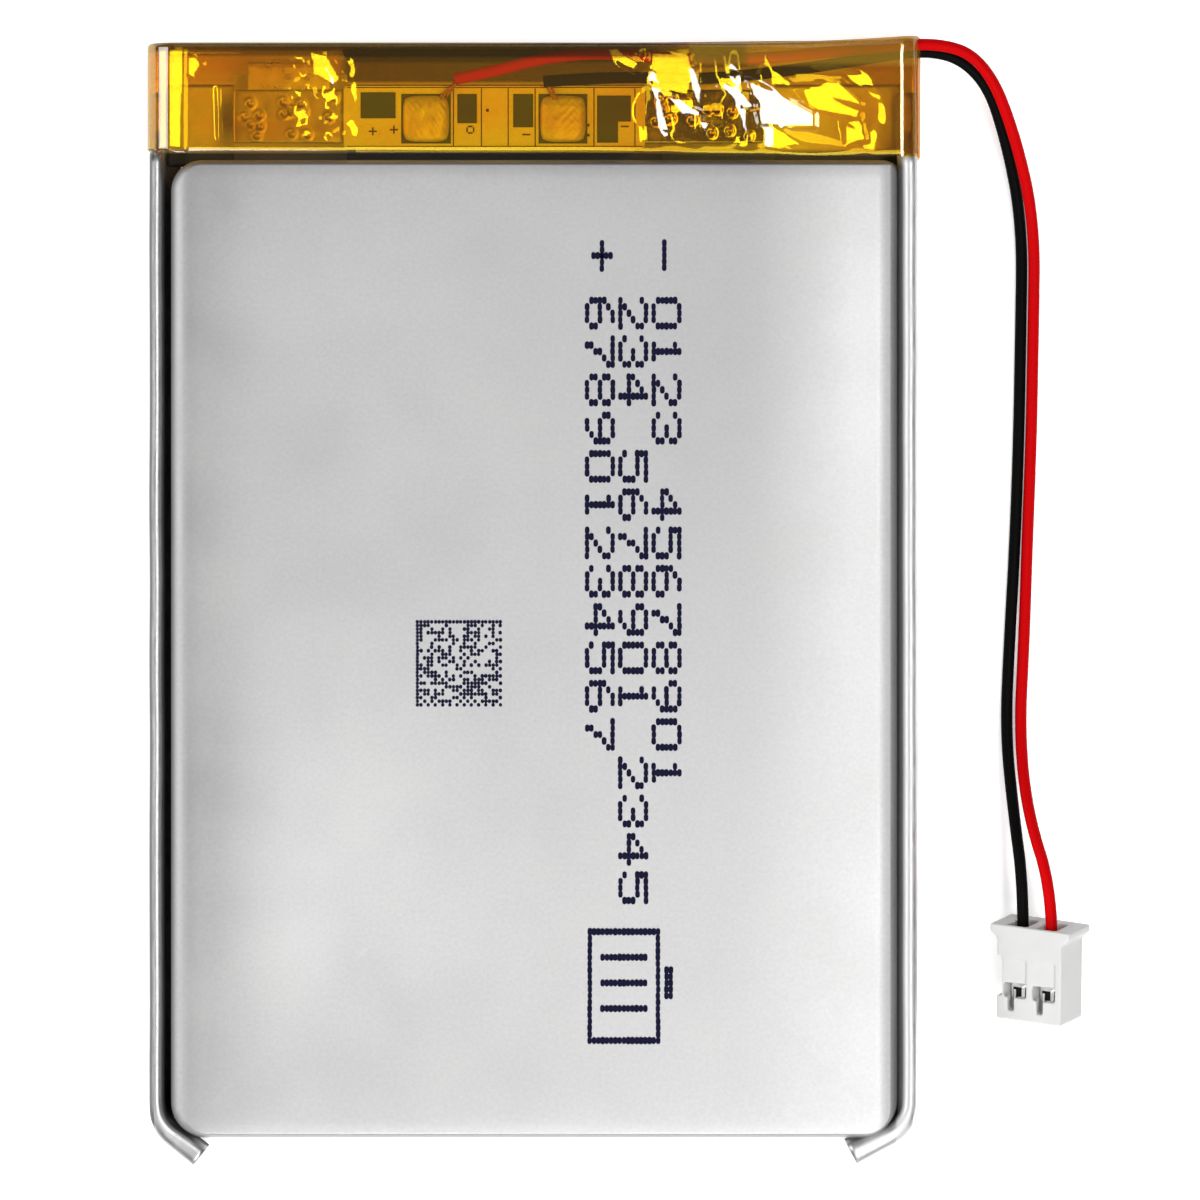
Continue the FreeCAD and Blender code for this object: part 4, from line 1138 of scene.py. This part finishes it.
def tape_piece(name, inset, low_y, relief, material, node):
    """One layer of tape: front, rounded sides, back, and the end that it is folded over."""
    rings = []
    for row in range(HEAD_ROWS + 2 * END_ROWS + 1):
        share = min(row / HEAD_ROWS, 1.0)
        round_edge = min(max(row - HEAD_ROWS, 0) / END_ROWS, 1.0)
        over_end = max(row - HEAD_ROWS - END_ROWS, 0) / END_ROWS
        angle = math.pi / 2 * round_edge
        past = HEAD_END_EDGE * math.sin(angle)
        shrink = HEAD_END_EDGE * (1 - math.cos(angle))
        shrink += (HEAD_END_DEPTH - HEAD_END_EDGE) * over_end
        d = inset + shrink
        low = (-HEAD_HALF + d, d)
        high = (HEAD_HALF - d, HEAD_FRONT - d)
        radii = [max(r - d, 0.02)
                 for r in (HEAD_BACK_EDGE, HEAD_BACK_EDGE, HEAD_EDGE, HEAD_LEFT_EDGE)]
        loop = rounded_loop(low, high, radii, (60, 8, FRONT_POINTS, 8), 12)
        x, z = loop[:, 0], loop[:, 1]
        top = tape_top(x) - inset - HEAD_END_EDGE
        y = low_y(x) + (top - low_y(x)) * share + past
        front = smooth_step(z, HEAD_FRONT * 0.8, HEAD_FRONT - d - 0.02)
        calm = 1 - smooth_step(np.full(x.shape, shrink), 0.0, HEAD_END_EDGE)
        z = z + relief(x, y) * front * calm
        rings.append(np.column_stack([x, y, z]))
    return ring_piece(name, rings, material, caps=(False, True), slot="polyimide_tape",
                      replaces=[node])


def outer_low(x):
    """Lower edge of the outer layer: cut a little askew, with a slight wave."""
    left, right = OUTER_LOW
    askew = (right - left) * np.clip((x + HEAD_HALF) / (2 * HEAD_HALF), 0, 1)
    return left + askew + 0.03 * waves(x, 0 * x, 11.0, 71)


def inner_low(x):
    """Lower edge of the inner layer, which reaches further down at the right."""
    low = INNER_LOW + 0.03 * waves(x, 0 * x, 9.0, 72)
    return low - 0.2 * smooth_step(x, 5.0, 12.0)


tape_piece("head_tape_outer", 0.0, outer_low, outer_relief, OUTER_FILM, "outer_tape_wrap")
tape_piece("head_tape_inner", LAYER_STEP, inner_low, inner_relief, INNER_FILM, "inner_tape_wrap")


# ---- plug

HOUSING_VOXEL = 0.04
HOUSING_SOFTENING = 70


def plug_housing():
    """The housing's shape with moulded, slightly soft edges."""
    piece = add_object("plug_housing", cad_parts["connector_housing"].data.copy())
    weld = piece.modifiers.new("weld", "WELD")
    weld.merge_threshold = 0.001 * MM
    remesh = piece.modifiers.new("remesh", "REMESH")
    remesh.mode = "VOXEL"
    remesh.voxel_size = HOUSING_VOXEL * MM
    soften = piece.modifiers.new("soften", "SMOOTH")
    soften.iterations = HOUSING_SOFTENING
    soften.factor = 0.5
    graph = bpy.context.evaluated_depsgraph_get()
    mesh = bpy.data.meshes.new_from_object(piece.evaluated_get(graph))
    piece.modifiers.clear()
    piece.data = mesh
    mesh.polygons.foreach_set("use_smooth", [True] * len(mesh.polygons))
    mesh.materials.clear()
    mesh.materials.append(PLUG)
    return settle(piece, ["connector_housing"])


housing = plug_housing()

# The plug's own axes: u across its two ways, v towards the leads, w out of its windowed face.
PLUG_CENTRE = (31.2, -22.8, 2.98)
PLUG_ROLL = math.radians(30.0)
PLUG_TILT = math.radians(12.5)
WAY_MIDDLES = (-1.0, 1.0)
# Corners of a contact's parts from the middle of its way, low and high.
MOUTH = ((-0.36, -1.60, 0.6), (0.24, -1.02, 0.86))
FOLDED_WALL = ((0.30, -1.58, 0.5), (0.56, -0.92, 1.05))
LANCE = ((-0.28, -2.3, 0.7), (-0.12, -1.15, 0.98))


def plug_place(u, v, w):
    """A point of the plug's axes in the cell's frame."""
    across = (math.cos(PLUG_ROLL), -math.sin(PLUG_ROLL) * math.sin(PLUG_TILT),
              math.sin(PLUG_ROLL) * math.cos(PLUG_TILT))
    along = (0.0, math.cos(PLUG_TILT), math.sin(PLUG_TILT))
    out = np.cross(across, along)
    return tuple(c + u * a + v * b + w * n for c, a, b, n in zip(PLUG_CENTRE, across, along, out))


def plug_blocks(corners):
    """The same small block in the plug's axes at each of its two ways."""
    (u0, v0, w0), (u1, v1, w1) = corners
    faces = [(0, 1, 3, 2), (4, 5, 7, 6), (0, 1, 5, 4), (2, 3, 7, 6), (0, 2, 6, 4), (1, 3, 7, 5)]
    return [([plug_place(middle + u, v, w) for w in (w0, w1) for v in (v0, v1)
              for u in (u0, u1)], faces) for middle in WAY_MIDDLES]


def contact_details():
    """What the windows show of each contact: a near-black block of painted shade in its open mouth,
    a folded wall and a lance.
    """
    mouth = new_piece("contact_mouth_shade", *merged(plug_blocks(MOUTH)), BORE_SHADE, smooth=False)
    walls = plug_blocks(FOLDED_WALL) + plug_blocks(LANCE)
    wall = new_piece("contact_walls", *merged(walls), TIN, slot="terminal_tin", smooth=False)
    bevel = wall.modifiers.new("bevel", "BEVEL")
    bevel.width = 0.03 * MM
    bevel.segments = 3
    return mouth, wall


mouth, wall = contact_details()


def strands(name, start, end, node):
    """Bare strands from the lead's cut end down into the solder."""
    draw = random.Random(name)
    routes = []
    for _ in range(7):
        a = draw.uniform(-0.1, 0.1)
        b = draw.uniform(-0.1, 0.1)
        middle = [(p + q) / 2 for p, q in zip(start, end)]
        routes.append(((start[0] + a, start[1] + b, start[2] + a),
                       (middle[0] + 2 * a, middle[1] - 2 * b, start[2]),
                       (end[0] + 3 * b, end[1] + 2 * a, end[2])))
    piece = spline_piece(name, routes, 0.1, COPPER)
    return settle(piece, [node])


strands("red_strands", (-4.7, 32.1, 5.0), (-5.6, 30.9, 4.9), "red_wire_conductor")
strands("black_strands", (0.8, 31.95, 5.0), (1.3, 30.9, 4.9), "black_wire_conductor")


# ---- floor and light

FLOOR_HALF = 3000.0


def make_floor():
    nodes = Nodes("floor")
    tone = nodes.blend(nodes.noise(60.0), (0.93, 0.93, 0.93), (0.95, 0.95, 0.95))
    # The floor's glow is painted light: it keeps the shadows on it faint and lights the cell from
    # below.
    material = nodes.surface({"Base Color": tone, "Roughness": 0.9, "Emission Strength": 0.35,
                              "Emission Color": colour(1.0, 1.0, 1.0)})
    mesh = bpy.data.meshes.new("floor")
    half = FLOOR_HALF * MM
    drop = -0.02 * MM
    mesh.from_pydata([(-half, -half, drop), (half, -half, drop), (half, half, drop),
                      (-half, half, drop)], [], [(0, 1, 2, 3)])
    mesh.materials.append(material)
    floor = add_object("floor", mesh)


def softbox(name, place, size, strength):
    """A panel that faces the cell: size is its width and its height, strength its brightness."""
    data = bpy.data.lights.new(name, "AREA")
    data.shape = "RECTANGLE"
    data.size = size[0] * MM
    data.size_y = size[1] * MM
    data.energy = strength * math.pi * data.size * data.size_y
    lamp = add_object(name, data)
    lamp.location = [c * MM for c in place]
    away = lamp.location.normalized()
    lamp.rotation_mode = "QUATERNION"
    lamp.rotation_quaternion = away.to_track_quat("Z", "Y")


def make_light():
    softbox("light_right", (190, 0, 640), (420, 140), 14.0)
    softbox("light_left", (-520, 20, 330), (320, 420), 7.4)
    softbox("light_far", (0, 420, 560), (420, 260), 0.6)
    softbox("light_near", (40, -245, 245), (240, 260), 5.8)
    world = bpy.data.worlds.new("studio")
    bpy.context.scene.world = world
    world.use_nodes = True
    background = world.node_tree.nodes["Background"]
    background.inputs["Color"].default_value = colour(1.0, 1.0, 1.0)
    background.inputs["Strength"].default_value = 0.1
    bpy.context.scene.view_settings.view_transform = "Standard"


make_floor()
make_light()
